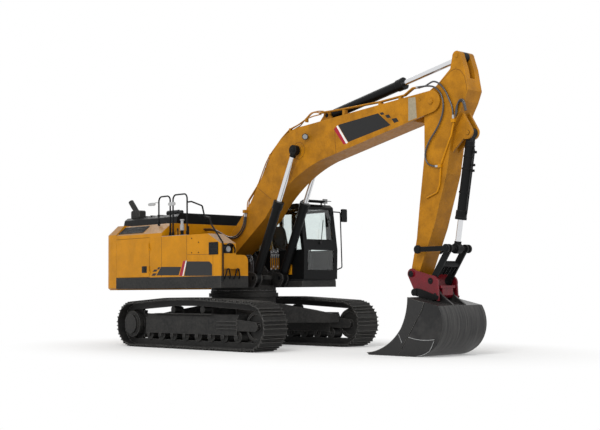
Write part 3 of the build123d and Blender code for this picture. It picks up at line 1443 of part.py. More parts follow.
def cab_shell():
    """The hollow cab with its window and door openings."""
    shell = plate_xz(CAB_RIGHT, CAB_LEFT, *cab_outline(0))
    shell -= plate_xz(CAB_RIGHT + CAB_WALL, CAB_LEFT - CAB_WALL, *cab_outline(CAB_WALL))
    for opening in cab_openings():
        shell -= opening
    for x in (CAB_REAR + 200, CAB_DECK_FRONT - 200):
        for y in (CAB_RIGHT + 180, CAB_LEFT - 180):
            shell += rod_z(x, y, CAB_MOUNT_RADIUS, CAB_DECK_Z, CAB_BOTTOM + 1)
    return shell


def side_window():
    """The right window's outline, between the belt and the roof rail."""
    return [
        (CAB_REAR + CAB_PILLAR, CAB_BELT),
        (CAB_FRONT - CAB_PILLAR - 20, CAB_BELT),
        (CAB_ROOF_FRONT - CAB_PILLAR + 10, CAB_ROOF - 110),
        (CAB_REAR + CAB_PILLAR, CAB_ROOF - 110),
    ]


def door_outline(grow):
    """The door's outline; grow widens it to its opening."""
    g = grow
    return [
        (CAB_DOOR_REAR - g, CAB_BOTTOM + 90 - g),
        (CAB_DOOR_FRONT + g, CAB_BOTTOM + 90 - g),
        (CAB_DOOR_FRONT + 60 + g, CAB_BELT),
        (CAB_DOOR_FRONT - 10 + g, CAB_ROOF - 90 + g),
        (CAB_DOOR_REAR - g, CAB_ROOF - 90 + g),
    ]


def cab_openings():
    """The cab's openings, the doorway last."""
    right = plate_xz(CAB_RIGHT - 1, CAB_RIGHT + CAB_WALL + 1, *side_window())
    doorway = plate_xz(CAB_LEFT - CAB_WALL - 1, CAB_LEFT + 1, *door_outline(DOOR_GAP))
    blocks = [block(*row) for row in window_rows(0)]
    return [right, *blocks, doorway]


def window_rows(shrink):
    """The windows as x, y and z pairs: front above, front below, rear, left. Shrink trims the panes."""
    s = shrink
    front_y = (CAB_RIGHT + CAB_FRONT_PILLAR + s, CAB_LEFT - CAB_FRONT_PILLAR - s)
    rear_y = (CAB_RIGHT + CAB_PILLAR + s, CAB_LEFT - CAB_PILLAR - s)
    quarter_x = (CAB_REAR + CAB_PILLAR + s, CAB_DOOR_REAR - CAB_PILLAR - s)
    return [
        (CAB_ROOF_FRONT - 120, CAB_FRONT + 1, *front_y, CAB_BELT + 220 + s, CAB_ROOF - 115 - s),
        (CAB_FRONT - CAB_WALL - 60, CAB_FRONT + 1, *front_y, CAB_BOTTOM + 200 + s, CAB_BELT - 10 - s),
        (CAB_REAR - 1, CAB_REAR + CAB_WALL + 1, *rear_y, CAB_BELT + s, CAB_ROOF - 180 - s),
        (*quarter_x, CAB_LEFT - CAB_WALL - 1, CAB_LEFT + 1, CAB_BELT + s, CAB_ROOF - 130 - s),
    ]


def side_pane(outline, y_low):
    """A pane in a side window, with its edge just inside the opening."""
    pane = offset(face_xz(*outline, y=y_low), -SEAT_GAP, kind=Kind.INTERSECTION)
    return extrude(pane, amount=GLASS_THICKNESS, dir=(0, 1, 0))


def cab_glass():
    """The fixed panes, in the middle of the cab's walls."""
    skin = plate_xz(CAB_RIGHT + 60, CAB_LEFT - 60, *cab_outline(GLASS_DEPTH))
    skin -= plate_xz(CAB_RIGHT + 59, CAB_LEFT - 59, *cab_outline(GLASS_DEPTH + GLASS_THICKNESS))
    rows = window_rows(SEAT_GAP)
    panes = [skin & block(*row) for row in rows[:3]]
    x_low, x_high, _, _, z_low, z_high = rows[3]
    glass_y = CAB_LEFT - GLASS_DEPTH
    panes.append(block(x_low, x_high, glass_y - GLASS_THICKNESS, glass_y, z_low, z_high))
    panes.append(side_pane(side_window(), CAB_RIGHT + GLASS_DEPTH))
    return panes


def cab_door():
    """The cab door: a frame round its upper window, hinged at its rear edge."""
    y_low = CAB_LEFT - CAB_WALL
    door = plate_xz(y_low, CAB_LEFT, *door_outline(0))
    door -= plate_xz(y_low - 1, CAB_LEFT + 1, *door_window())
    y = CAB_LEFT + HINGE_OFFSET
    for z in cab_hinge_heights():
        top = z + HINGE_HEIGHT
        knuckle = rod_z(CAB_DOOR_REAR, y, HINGE_RADIUS, z, top)
        door += knuckle + block(CAB_DOOR_REAR, CAB_DOOR_REAR + 40, CAB_LEFT - 2, y, z, top)
    return door


def door_window():
    """The outline of the window in the cab door."""
    return [
        (CAB_DOOR_REAR + 60, CAB_BELT),
        (CAB_DOOR_FRONT - 15, CAB_BELT),
        (CAB_DOOR_FRONT - 75, CAB_ROOF - 150),
        (CAB_DOOR_REAR + 60, CAB_ROOF - 150),
    ]


def cab_hinge_heights():
    return (CAB_BOTTOM + 250, CAB_ROOF - 450)


def cab_visor():
    """The rain visor over the front window, on two feet on the roof."""
    x_low, x_high = VISOR_X
    y_low, y_high = VISOR_Y
    z = CAB_ROOF + VISOR_RISE
    t = VISOR_THICKNESS
    visor = plate_xz(
        y_low, y_high, (x_low, z), (x_low + 120, z + 38), (x_high, z + 14),
        (x_high, z + 14 - t), (x_low + 120, z + 38 - t), (x_low, z - t),
    )
    for y in (y_low + 30, y_high - 60):
        visor += block(x_low + 4, x_low + 24, y, y + 30, CAB_ROOF + SEAT_GAP, z - 2)
    return visor


def cab_mirror():
    """The grab rail at the cab's left front corner, with the mirror on its arm."""
    side = CAB_LEFT + SEAT_GAP
    y = CAB_LEFT + 55
    top = (CAB_ROOF_FRONT + 10, CAB_ROOF - 145)
    bottom = (CAB_FRONT - 60, CAB_BOTTOM + 210)
    rail = tube(
        [
            (top[0], side, top[1]), (top[0], y, top[1]), (CAB_FRONT + 40, y, top[1] - 20),
            (CAB_FRONT + 75, y, bottom[1] + 40), (bottom[0], y, bottom[1]), (bottom[0], side, bottom[1]),
        ],
        MIRROR_RAIL_RADIUS,
        40,
    )
    depth, width, height = MIRROR_SIZE
    z = top[1] - 100
    start = CAB_FRONT + 43
    reach = MIRROR_FRONT - depth - start + 1
    arm = Cylinder(MIRROR_RAIL_RADIUS - 2, reach, align=(Align.CENTER, Align.CENTER, Align.MIN))
    arm = Pos(start, y, z) * Rot(0, 90, 0) * arm
    y_high = CAB_LEFT + 100
    plate = block(MIRROR_FRONT - depth, MIRROR_FRONT, y_high - width, y_high, z - height / 2, z + height / 2)
    return rail + arm + fillet(plate.edges().filter_by(Axis.X), 25)


def lamps():
    """The work lamps: one in the nose's recess and one on the cab's roof at its left front."""
    y = (-HOUSE_HALF_WIDTH + 75 - NOSE_UPPER_INNER - 40) / 2
    back = NOSE_X - NOSE_RECESS + SEAT_GAP
    round_lamp = Cylinder(LAMP_RADIUS, LAMP_DEPTH, align=(Align.CENTER, Align.CENTER, Align.MIN))
    nose_lamp = Pos(back, y, NOSE_TOP - 115) * Rot(0, 90, 0) * round_lamp
    x, y = CAB_ROOF_FRONT - 120, CAB_LEFT - 120
    roof_lamp = rod_z(x + 22, y, 12, CAB_ROOF + SEAT_GAP, CAB_ROOF + 40)
    roof_lamp += block(x, x + 55, y - 50, y + 50, CAB_ROOF + 35, CAB_ROOF + 135)
    return [nose_lamp, roof_lamp]


def seat():
    """The operator's seat: pedestal, cushion and back in one side outline."""
    floor = CAB_BOTTOM + CAB_WALL
    y = (CAB_RIGHT + CAB_LEFT) / 2
    half = SEAT_WIDTH / 2
    cushion = plate_xz(
        y - half,
        y + half,
        (SEAT_X, floor + SEAT_HEIGHT),
        (SEAT_X + 480, floor + SEAT_HEIGHT + 20),
        ((SEAT_X + 540, floor + SEAT_HEIGHT - 50), (SEAT_X + 480, floor + SEAT_HEIGHT - 130)),
        (SEAT_X - 60, floor + SEAT_HEIGHT - 150),
        (SEAT_X - 260, floor + SEAT_HEIGHT + 640),
        ((SEAT_X - 200, floor + SEAT_HEIGHT + 690), (SEAT_X - 150, floor + SEAT_HEIGHT + 640)),
    )
    pedestal = block(SEAT_X, SEAT_X + 400, y - 150, y + 150, floor, floor + SEAT_HEIGHT - 140)
    return cushion + pedestal


def console():
    """The two side consoles with a lever each, and the travel levers in front of the seat."""
    floor = CAB_BOTTOM + CAB_WALL
    y = (CAB_RIGHT + CAB_LEFT) / 2
    space = (CAB_LEFT - CAB_RIGHT - SEAT_WIDTH) / 2 - CAB_WALL
    near = SEAT_WIDTH / 2 + CONSOLE_START * space
    far = SEAT_WIDTH / 2 + CONSOLE_END * space
    solids = []
    for side in (-1, 1):
        low, high = sorted((y + side * near, y + side * far))
        box = block(SEAT_X + 60, SEAT_X + 520, low, high, floor, floor + SEAT_HEIGHT + 90)
        box += rod_z(SEAT_X + 450, (low + high) / 2, 22, floor + SEAT_HEIGHT + 89, floor + SEAT_HEIGHT + 260)
        solids.append(box)
    for side in (-1, 1):
        post = rod_z(SEAT_X + 760, y + side * 75, 16, floor, floor + 640)
        post += block(SEAT_X + 700, SEAT_X + 900, y + side * 75 - 45, y + side * 75 + 45, floor, floor + 40)
        solids.append(post)
    return solids


# Handrails
def handrails():
    """The right rails: a rear loop, and a front loop whose front post carries the rail down the nose."""
    y1 = -HOUSE_HALF_WIDTH + REAR_LOOP_INSET
    y2 = -HOUSE_HALF_WIDTH + FRONT_LOOP_INSET
    top = EAVE_Z + LOOP_HEIGHT
    deck = EAVE_Z + SEAT_GAP
    slope = (ROOF_Z - SHOULDER_Z) / ROOF_INSET
    foot_z = SHOULDER_Z + (y1 + RAIL_BOOT_RADIUS + HOUSE_HALF_WIDTH) * slope + SEAT_GAP
    rear = tube([(-1314, y1, foot_z), (-1314, y1, top), (-900, y1, top), (-900, y1, deck)], RAIL_RADIUS)
    front = tube([(-732, y2, deck), (-732, y2, top), (-238, y2, top), (-238, y2, deck)], RAIL_RADIUS)
    rear += rod_z(-1314, y1, RAIL_BOOT_RADIUS, foot_z, foot_z + RAIL_BOOT_HEIGHT)
    rear += rod_z(-900, y1, RAIL_BOOT_RADIUS, deck, deck + RAIL_BOOT_HEIGHT)
    for x in (-732, -238):
        front += rod_z(x, y2, RAIL_BOOT_RADIUS, deck, deck + RAIL_BOOT_HEIGHT)
    return [rear, front + nose_rail(y2)]


def nose_rail(y):
    """The rail from the front loop down to its foot on the frame's front."""
    low_y = -HOUSE_HALF_WIDTH + RAIL_RADIUS
    x = NOSE_X + 50
    rail = tube(
        [
            (-238, y, EAVE_Z + 705), (-87, y, EAVE_Z + 707), (275, y, EAVE_Z + 596), (351, y, EAVE_Z + 369),
            (552, y - 20, EAVE_Z + 336), (627, y - 40, EAVE_Z + 190), (x, low_y, NOSE_TOP + 5),
            (x, low_y, HOUSE_FLOOR - 100),
        ],
        RAIL_RADIUS,
        60,
    )
    foot = block(NOSE_X + SEAT_GAP, x, low_y - 15, low_y + 15, HOUSE_FLOOR - 120, HOUSE_FLOOR - 60)
    return rail + foot


# Pipes on the boom and the arm
def boom_top(x):
    """Height of the boom's top side at an X, along its straight part."""
    (x1, z1), (x2, z2) = BOOM_TOP_REAR, BOOM_TOP_FRONT
    return z1 + (z2 - z1) * (x - x1) / (x2 - x1)


def boom_pipes():
    """Two pipes along the right edge of the boom's top, on clamps."""
    points = [(x, boom_top(x) + rise) for x, rise in BOOM_PIPE_RUN]
    end_x, end_z = BOOM_PIPE_END
    points += [(end_x - BOOM_PIPE_LAST_RUN, end_z), (end_x, end_z)]
    solids = []
    for index in range(2):
        y = -BOOM_HALF + PIPE_RADIUS + 8 + index * PIPE_SPACING
        solids.append(tube([(x, y, z) for x, z in points], PIPE_RADIUS, PIPE_BEND))
    return solids


def boom_clamps():
    """The clamp blocks that hold the boom's pipes off its top, each on a thin foot."""
    solids = []
    y_low = -BOOM_HALF + 3
    y_high = -BOOM_HALF + 2 * PIPE_RADIUS + PIPE_SPACING + 13
    for x, rise in BOOM_CLAMPS:
        top = boom_top(x) + rise - PIPE_RADIUS - SEAT_GAP
        foot = [(x - 30, boom_top(x - 30) + SEAT_GAP), (x + 30, boom_top(x + 30) + SEAT_GAP), (x + 30, top)]
        solids.append(plate_xz(y_low, y_high, *foot, (x - 30, top)))
    return solids


def arm_pipes():
    """The pipe down the arm's right side, from its clamp under the boom's tip."""
    y = -ARM_HALF - PIPE_RADIUS - SEAT_GAP
    solids = []
    for run in ARM_PIPE_RUNS:
        solids.append(tube([(x, y, z) for x, z in run], PIPE_RADIUS, PIPE_BEND))
    return solids


def arm_blocks():
    """The blocks on the arm's right side that hold the pipes' ends and the hoses."""
    return [
        block(x_low, x_high, -ARM_HALF - 55, -ARM_HALF - SEAT_GAP, z_low, z_high)
        for x_low, x_high, z_low, z_high in ARM_BLOCKS
    ]


def hose_block():
    """The block on the boom's right side where the hoses from the house end."""
    x_low, x_high, z_low, z_high = HOSE_BLOCK
    return block(x_low, x_high, -BOOM_HALF - 90, -BOOM_HALF - SEAT_GAP, z_low, z_high)


def arc_radii(points):
    """A radius for each corner: 0.45 of the shorter run beside it, over the half turn's tangent."""
    radii = []
    for before, corner, after in zip(points, points[1:], points[2:]):
        first = Vector(*corner) - Vector(*before)
        second = Vector(*after) - Vector(*corner)
        half_turn = math.radians(first.get_angle(second)) / 2
        radii.append(0.45 * min(first.length, second.length) / math.tan(half_turn))
    return radii


def hose(points):
    """A hose along a route, bent at each corner."""
    radii = arc_radii(points)
    print("hose radii", [round(radius) for radius in radii])
    path = FilletPolyline(*points, radius=radii)
    section = Plane(origin=path @ 0, z_dir=path % 0) * Circle(HOSE_RADIUS)
    return sweep(section, path=path)


def foot_hoses():
    """The two hoses from the engine room's front wall to the boom."""
    dy, dz = FOOT_HOSE_STEP
    second = [(x, y + dy, z + dz) for x, y, z in FOOT_HOSE_ROUTE[:-1]]
    x, y, z = FOOT_HOSE_ROUTE[-1]
    second.append((x, y + dy, z))
    return [hose(FOOT_HOSE_ROUTE), hose(second)]


# All pieces
def build_undercarriage():
    body = carbody()
    keep("carbody", body)
    keep("slew_ring", slew_ring())
    drive, motor = final_drive()
    for name, shape in (("track", track()), ("track_frame", track_frame())):
        keep(name + "_right", shape)
        keep(name + "_left", mirrored(shape))
    keep("final_drives", *pair(drive))
    keep("travel_motors", *pair(motor))
    keep("idlers", *pair(idler()))
    for name, shapes in (("bottom_rollers", bottom_rollers()), ("carrier_rollers", carrier_rollers())):
        keep(name, *shapes, *[mirrored(shape) for shape in shapes])


def build_house():
    keep("house_frame", house_frame())
    keep("counterweight", counterweight())
    keep("engine_room", engine_room())
    keep("engine_block", engine_block())
    keep("tank", tank())
    keep("nose_bay", nose_bay())
    keep("left_bay", left_bay())
    keep("cowl", cowl())
    keep("engine_hood", hood())
    keep("exhaust", exhaust())
    keep("grilles", roof_grille(), nose_vent())
    keep("foot_hoses", *foot_hoses())
    keep("lamps", *lamps())
    names = ("right_door", "left_rear_door", "left_front_door")
    for name, row in zip(names, door_rows()):
        keep(name, side_door(*row))
    keep("handrails", *handrails())
    keep("cab_shell", cab_shell())
    keep("cab_door", cab_door())
    keep("cab_glass", *cab_glass())
    keep("door_glass", side_pane(door_window(), CAB_LEFT - GLASS_DEPTH - GLASS_THICKNESS))
    keep("cab_visor", cab_visor())
    keep("cab_mirror", cab_mirror())
    keep("door_hinges", *door_hinges())
    keep("seat", seat())
    keep("console", *console())


def build_front():
    keep("boom", boom())
    keep("lift_barrels", *pair(lift_barrel()))
    keep("boom_pipes", *boom_pipes(), *boom_clamps(), hose_block())
    keep("boom_hoses", *[hose(route) for route in TIP_HOSE_ROUTES])
    keep("arm", arm())
    keep("arm_pipes", *arm_pipes(), *arm_blocks())
    keep("arm_barrel", stick_barrel())
    keep("bucket_barrel", bucket_barrel())
    stem, eye = lift_rod()
    keep("lift_rods", *pair(stem))
    keep("lift_rod_eyes", *pair(eye))
    for name, (stem, eye) in (("arm_rod", stick_rod()), ("bucket_rod", bucket_rod())):
        keep(name, stem)
        keep(name + "_eye", eye)
    keep("side_links", *pair(side_link()))
    keep("power_link", power_link())
    keep("coupler", coupler())
    keep("bucket", bucket())
    keep("bucket_edge", *bucket_plates())


def main():
    build_undercarriage()
    build_house()
    build_front()
    shift = Pos(ORIGIN_SHIFT, 0, 0)
    for name, solids in NODES.items():
        export_step(Compound(children=[shift * solid for solid in solids]), f"parts/{name}.step")


main()
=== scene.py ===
import math

import bmesh
import bpy
import numpy as np
from mathutils import Matrix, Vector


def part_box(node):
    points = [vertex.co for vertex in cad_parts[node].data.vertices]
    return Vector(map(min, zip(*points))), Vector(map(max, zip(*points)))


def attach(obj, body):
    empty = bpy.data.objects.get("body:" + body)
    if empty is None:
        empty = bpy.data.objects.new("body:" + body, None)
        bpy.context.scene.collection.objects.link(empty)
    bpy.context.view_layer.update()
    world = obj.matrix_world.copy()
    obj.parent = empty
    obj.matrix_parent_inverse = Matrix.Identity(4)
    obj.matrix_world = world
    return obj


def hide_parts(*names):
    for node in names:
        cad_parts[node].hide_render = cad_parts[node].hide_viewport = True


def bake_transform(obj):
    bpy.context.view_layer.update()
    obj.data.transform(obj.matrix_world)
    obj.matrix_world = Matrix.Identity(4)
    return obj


bl_info = {
    "name": "Crawler excavator",
    "version": (1, 0, 0),
    "blender": (4, 5, 0),
    "location": "View3D > Sidebar > Excavator",
    "description": "Paints and trims a crawler excavator around its packed frame",
    "category": "Object",
}

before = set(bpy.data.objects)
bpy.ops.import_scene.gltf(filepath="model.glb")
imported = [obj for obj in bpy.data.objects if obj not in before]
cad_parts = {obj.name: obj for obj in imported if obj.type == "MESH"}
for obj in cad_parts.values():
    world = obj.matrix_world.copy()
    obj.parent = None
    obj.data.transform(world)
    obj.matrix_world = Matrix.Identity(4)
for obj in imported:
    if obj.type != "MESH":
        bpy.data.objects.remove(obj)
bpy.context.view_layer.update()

# The machine's own millimetres have the slewing axis at X = 0; this is the axis's X in the frame.
SLEW_AXIS_X = 500.0 * (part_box("slew_ring")[0].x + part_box("slew_ring")[1].x)

# The photograph's camera in machine millimetres: its place, and the directions of its right, up and back.
CAMERA_PLACE = (18494.0, -15675.0, 1202.0)
CAMERA_RIGHT = (0.68414, 0.72927, -0.00871)
CAMERA_UP = (0.05489, -0.03958, 0.99768)
CAMERA_BACK = (0.72726, -0.68306, -0.06711)
CAMERA_LENS = 66.84

# Colours of the finishes as they look in the photograph
OCHRE = "#CF8A06"
OCHRE_HANDLED = "#BA7C14"
OCHRE_DUSTY = "#A9772C"
# dark ochre for grime patches and weld beads, and for the painted shade on faces that look down
OCHRE_DEEP = "#7A4F10"
OCHRE_TOP_DUST = "#7F786D"
# light ochre painted as a highlight along sharp edges
OCHRE_EDGE_HIGHLIGHT = "#F0BC55"
BLACK = "#0E0F10"
BLACK_DUSTY = "#35332F"
# grey painted as a highlight along the black paint's sharp edges
BLACK_EDGE_HIGHLIGHT = "#6B6B6A"
FRAME_BLACK = "#0F1011"
FRAME_DUSTY = "#3E3C39"
FRAME_WORN = "#A5A39F"
DARK_RED = "#74081A"
# dark red for grime patches and for the painted shade on faces that look down
RED_DEEP = "#2A0A10"
# light red painted as a highlight along the coupler's sharp edges
RED_EDGE_HIGHLIGHT = "#C8606C"
TRACK_DARK = "#0F0F0F"
TRACK_DUSTY = "#302F2D"
TRACK_WORN = "#C8C5BF"
BUCKET_DARK = "#101012"
BUCKET_DUSTY = "#2B2A29"
BUCKET_WORN = "#8F8C87"
CUTTER_DARK = "#151516"
IRON = "#5A5B5C"
IRON_DUSTY = "#4A4640"
SILVER = "#B9BABB"
SILVER_DULL = "#8F8F8C"
CHROME = "#D8D9DB"
PRIMER = "#9A8F78"
GLASS = "#EEF4F3"
RUBBER = "#2A2B2E"
FILM_BLACK = "#141415"
FILM_RED = "#A3122B"
WHITE = "#E9E9E6"
CLOTH = "#26272B"
LENS = "#8C8E8F"
FLOOR = "#F7F7F6"

# Sizes in machine millimetres that the trim is placed by. The eye boss is the round one at the boom's bend,
# given by its (x, z) place.
BOOM_SIDE = 250.0
ARM_SIDE = 200.0
HOUSE_SIDE = 1490.0
DECK = 2370.0
CAB_DECK = 1390.0
CAB_FLOOR = 1430.0
HOOD_TOP = 2880.0
SKIN = 0.8
SKIN_GAP = 0.05
SEAM_RADIUS = 2.6
WELD_RADIUS = 5.0
EYE_BOSS = (2050.0, 4030.0)
EYE_BOSS_RADIUS = 175.0

# Painted shapes on the right side of the house: finish, corners (x, z)
HOUSE_MARKS = (
    ("black film", ((-1143, 1541), (-972, 1721), (-265, 1707), (-354, 1530))),
    ("black film", ((-1326, 1537), (-1195, 1535), (-1127, 1586), (-1258, 1589))),
    ("black film", ((-1284, 1623), (-1153, 1621), (-1096, 1666), (-1221, 1668))),
    ("black film", ((-1117, 1672), (-1075, 1717), (-992, 1716), (-1044, 1665))),
    ("red film", ((-330, 1519), (-221, 1517), (-107, 1831), (-190, 1833))),
    ("white film", ((-221, 1517), (-186, 1517), (-68, 1830), (-107, 1831))),
    ("black film", ((-157, 1516), (-73, 1816), (680, 1797), (773, 1734), (772, 1504))),
)

# Painted shapes on the right side of the boom
BOOM_MARKS = (
    ("red film", ((3059, 4358), (3139, 4405), (3400, 4038), (3331, 4030))),
    ("white film", ((3139, 4405), (3179, 4423), (3450, 4052), (3400, 4038))),
    ("black film", ((3184, 4430), (4251, 4530), (4573, 4269), (3456, 4062))),
    ("black film", ((4298, 4532), (4379, 4536), (4422, 4490), (4334, 4487))),
    ("black film", ((4433, 4470), (4530, 4474), (4583, 4408), (4486, 4409))),
    ("black film", ((4594, 4383), (4719, 4387), (4778, 4313), (4664, 4299))),
    ("grey primer", ((5018, 4722), (5192, 4716), (5218, 4326), (5012, 4290))),
)

# Lines of (x, z) points: grooves between panels on the house's right side, weld beads on the arm and the boom,
# and bright lines painted as highlights along the edges of the bucket's wear plates
HOUSE_SEAMS = (
    ((-75, 2362), (-75, 1506)), ((-70, 1955), (800, 1940)), ((800, 1940), (800, 1506)),
    ((-955, 2362), (-955, 1506)), ((-1401, 2162), (-1401, 1532)),
)
ARM_WELDS = (
    ((5700, 4900), (5757, 4925), (5880, 5010), (5996, 5090), (6100, 5110), (6199, 5070), (6290, 4960),
     (6331, 4800), (6335, 4690)),
    ((6180, 4330), (6050, 4180), (5930, 3900), (5870, 3700), (5800, 3560)),
)
# bright lines painted as highlights along the edges of the bucket's wear plates
BUCKET_EDGE_HIGHLIGHTS = (
    ((5262, 345), (5412, 315), (5564, 300), (5716, 301), (5868, 318), (5842, 264), (5814, 212), (5783, 161),
     (5750, 112), (5658, 62), (5558, 28), (5455, 12)),
    ((5030, 395), (5110, 240)),
)
BOOM_WELDS = (((780, 3361), (1190, 3100)), ((3096, 4390), (3096, 4161), (3119, 3860)))

# The thin pipes up the boom's back on its right edge, and over its top by the arm cylinder's foot: (x, y, z)
BACK_PIPES = (
    ((400, -235, 2900), (420, -235, 3091), (763, -235, 3425), (1023, -235, 3871), (1152, -235, 4028),
     (1529, -235, 4347), (1776, -235, 4507), (2018, -235, 4563), (2256, -235, 4655), (2463, -235, 4690),
     (2640, -225, 4702)),
    ((400, -200, 2900), (430, -195, 3111), (775, -195, 3445), (1035, -195, 3891), (1164, -195, 4048),
     (1541, -195, 4362), (1790, -195, 4515), (2018, -190, 4583), (2240, -185, 4675), (2400, -180, 4780),
     (2560, -179, 4765), (2640, -179, 4702)),
    ((1800, -150, 4500), (2000, -145, 4560), (2120, -140, 4660), (2300, -130, 4790), (2520, -125, 4800),
     (2700, -150, 4770), (2760, -170, 4700)),
)

# The hoses' routes: the control points of their lines, as in the model of the machine
TIP_HOSE_ROUTES = (
    ((5240.3, -225, 4896), (5390, -225, 4896), (5620, -225, 4862), (5775, -227, 4720), (5840, -232, 4520),
     (5815, -238, 4309), (5690, -242, 4080), (5480, -242, 3860), (5365, -240, 3610), (5480, -230, 3402),
     (5690, -230, 3402)),
    ((5240.3, -179, 4896), (5370, -179, 4896), (5480, -190, 4940), (5610, -212, 4960), (5765, -226, 4880),
     (5885, -230, 4745), (5965, -230, 4580), (6048, -230, 4400), (6048, -230, 4215)),
)
FOOT_HOSE_ROUTE = (
    (-954.7, -300, 2540), (-800, -300, 2540), (-610, -300, 2520), (-420, -298, 2455), (-230, -296, 2365),
    (-20, -292, 2310), (185, -288, 2350), (340, -284, 2490), (417, -278, 2660), (417, -278, 2849.7),
)
FOOT_HOSE_STEP = (0, -38, 25)
HOSE_RADIUS = 16.0

# Round caps on pins: body, finish, side, place (x, z), radius
PIN_CAPS = (
    ("boom", "handled ochre", BOOM_SIDE + 20, (5560, 4590), 46),
    ("boom", "handled ochre", BOOM_SIDE, (5291, 4648), 22),
    ("arm", "handled ochre", ARM_SIDE, (6120, 5340), 40), ("arm", "handled ochre", 115, (6270, 3955), 40),
    ("bucket", "black enamel", 309, (5066, 1476), 58), ("bucket", "black enamel", 285, (5508, 1343), 56),
    ("bucket", "black enamel", 285, (5610, 1085), 40), ("bucket", "black enamel", 300, (5130, 1140), 66),
)

# Mirrors on the handrails: x from and to, y, z from and to, x of the post that carries it
RAIL_MIRRORS = ((-1640, -1391, -1300, 3070, 3138, -1314), (-838, -597, -1350, 3024, 3103, -732))

# Lines and outlines of small trim: two bent pipes, the places (x, z) of the clips and the panel bolts, the
# middle lines of the bucket cylinder and the power link, and the side of a hooked ear
LAMP_GUARD = ((1052, -1405, 1965), (1075, -1400, 2040), (1075, -1330, 2150), (1075, -1200, 2150),
              (1075, -1130, 2040), (1052, -1125, 1965))
DECK_HANDLE = ((-790, -1160, DECK + 8), (-790, -1165, DECK + 130), (-720, -1250, DECK + 180),
               (-640, -1290, DECK + 120), (-640, -1290, DECK + 8))
BACK_CLIPS = ((763, 3425), (1152, 4028), (1776, 4507), (2256, 4655))
PANEL_BOLTS = ((100, 2290), (100, 1990), (330, 2200), (330, 1990))
BUCKET_CYLINDER = ((6270.0, 0.0, 3955.0), (5900.0, 0.0, 1915.0))
LINK_LINE = ((5930.0, 1915.0), (5508.0, 1343.0))
HOOK_EAR = ((5070, 1120), (5099, 1190), (5170, 1215), (5280, 1200), (5700, 1070), (5680, 1010), (5510, 1000),
            (5159, 1074))

# Fittings of plain bars and blocks: name, finish, body, slot, then each bar (centre, axis, radius, length,
# bevel, sides) and each block (low corner, high corner, rounding)
UP, ALONG, ACROSS, LAMP_AXIS = (0, 0, 1), (1, 0, 0), (0, 1, 0), (0.7, -0.7, -0.15)
PLAIN_FITTINGS = (
    ("panel_bolts", "black enamel", "house", None,
     *[((x, -1494, z), ACROSS, 13, 10, 2, 12) for x, z in PANEL_BOLTS]),
    ("lamp_recess_back", "black film", "house", None, ((991, -1414, 1956), (994, -1131, 2134))),
    ("deck_strip", "zinc fitting", "house", None, ((-955, -1488, DECK + 0.5), (-110, -1370, DECK + 7), 2)),
    ("filler_cap", "ochre enamel", "house", "ochre_paint", ((-720, -1200, DECK + 48), UP, 70, 92, 8),
     ((-720, -1200, DECK + 112), UP, 52, 34, 6, 10)),
    ("deck_posts", "black enamel", "house", None, ((-610, -1200, DECK + 62), UP, 34, 120, 6),
     ((-860, -1130, DECK + 95), UP, 16, 186, 4), ((-480, -1130, DECK + 110), UP, 16, 216, 4)),
    ("deck_fitting", "zinc fitting", "house", None, ((-610, -1200, DECK + 190), UP, 44, 134, 10),
     ((-610, -1200, DECK + 300), UP, 30, 86, 8), ((-610, -1200, DECK + 350), UP, 46, 28, 8)),
    ("cab_skirt", "moulded plastic", "house", None,
     ((1325, 505, CAB_DECK + 0.5), (1337, 1485, CAB_FLOOR - 0.5), 1),
     ((-300, 503, CAB_DECK + 0.5), (1325, 512, CAB_FLOOR - 0.5), 1),
     ((-300, 1474, CAB_DECK + 0.5), (1325, 1483, CAB_FLOOR - 0.5), 1)),
    ("swing_gear", "chassis black", "house", None, ((640, 60, 1470), UP, 150, 84, 10),
     ((640, 60, 1516), UP, 90, 12, 4)),
    ("valve_block", "chassis black", "house", None, ((120, -160, 1506), (380, 200, 1612), 12)),
    ("slew_valve_base", "chassis black", "house", None, ((556, 272, 1512), (648, 488, 1640), 8)),
    ("cab_corner_cover", "ochre enamel", "house", "ochre_paint", ((925, 470, 1530), (1020, 494, 1745), 11)),
    ("boom_lamp", "moulded plastic", "boom", None, ((2329, -332, 4282), LAMP_AXIS, 64, 62, 14),
     ((2290, -318, 4262), (2336, -BOOM_SIDE - 0.5, 4302), 6)),
    ("boom_lamp_lens", "clear lens", "boom", "lamp_lens", ((2351.4, -354.4, 4277.2), LAMP_AXIS, 50, 10, 4)),
    ("air_drum", "moulded plastic", "engine_hood", None, ((-1500, -760, HOOD_TOP + 62), ALONG, 60, 420, 12, 28),
     ((-1240, -760, HOOD_TOP + 62), ALONG, 44, 120, 10, 24)),
    ("hood_ridges", "black enamel", "engine_hood", None,
     *[((x, -1000, HOOD_TOP + 0.5), (x + 34, 1000, HOOD_TOP + 26), 8)
       for x in (-2300, -2060, -1790, -1010)]),
)


# Colours and numbers
def to_linear(colour):
    """An sRGB hex colour as linear red, green, blue and 1."""
    values = [int(colour[i:i + 2], 16) / 255 for i in (1, 3, 5)]
    return [v / 12.92 if v <= 0.04045 else ((v + 0.055) / 1.055) ** 2.4 for v in values] + [1.0]


def metres(points):
    """Machine millimetres as the frame's metres: moved along X, then divided by a thousand."""
    return (np.asarray(points, float) + (SLEW_AXIS_X, 0.0, 0.0)) / 1000.0


# Settings that a user would change
def colour_setting(name, description, colour):
    """A colour that a user can pick, with its default."""
    return bpy.props.FloatVectorProperty(
        name=name, description=description, subtype="COLOR", size=4, min=0.0, max=1.0,
        default=to_linear(colour))


class ExcavatorPaint(bpy.types.PropertyGroup):
    main: colour_setting("Main paint", "Colour of the body, boom and arm", OCHRE)
    second: colour_setting("Second paint", "Colour of the cab, hood and cylinders", BLACK)
    coupler: colour_setting("Coupler paint", "Colour of the quick coupler", DARK_RED)
    dust: bpy.props.FloatProperty(
        name="Dust", description="How much dust lies on the paint", min=0.0, max=1.0, default=0.35)
    wear: bpy.props.FloatProperty(
        name="Wear", description="How far bare steel shows at worn edges", min=0.0, max=1.0, default=0.5)


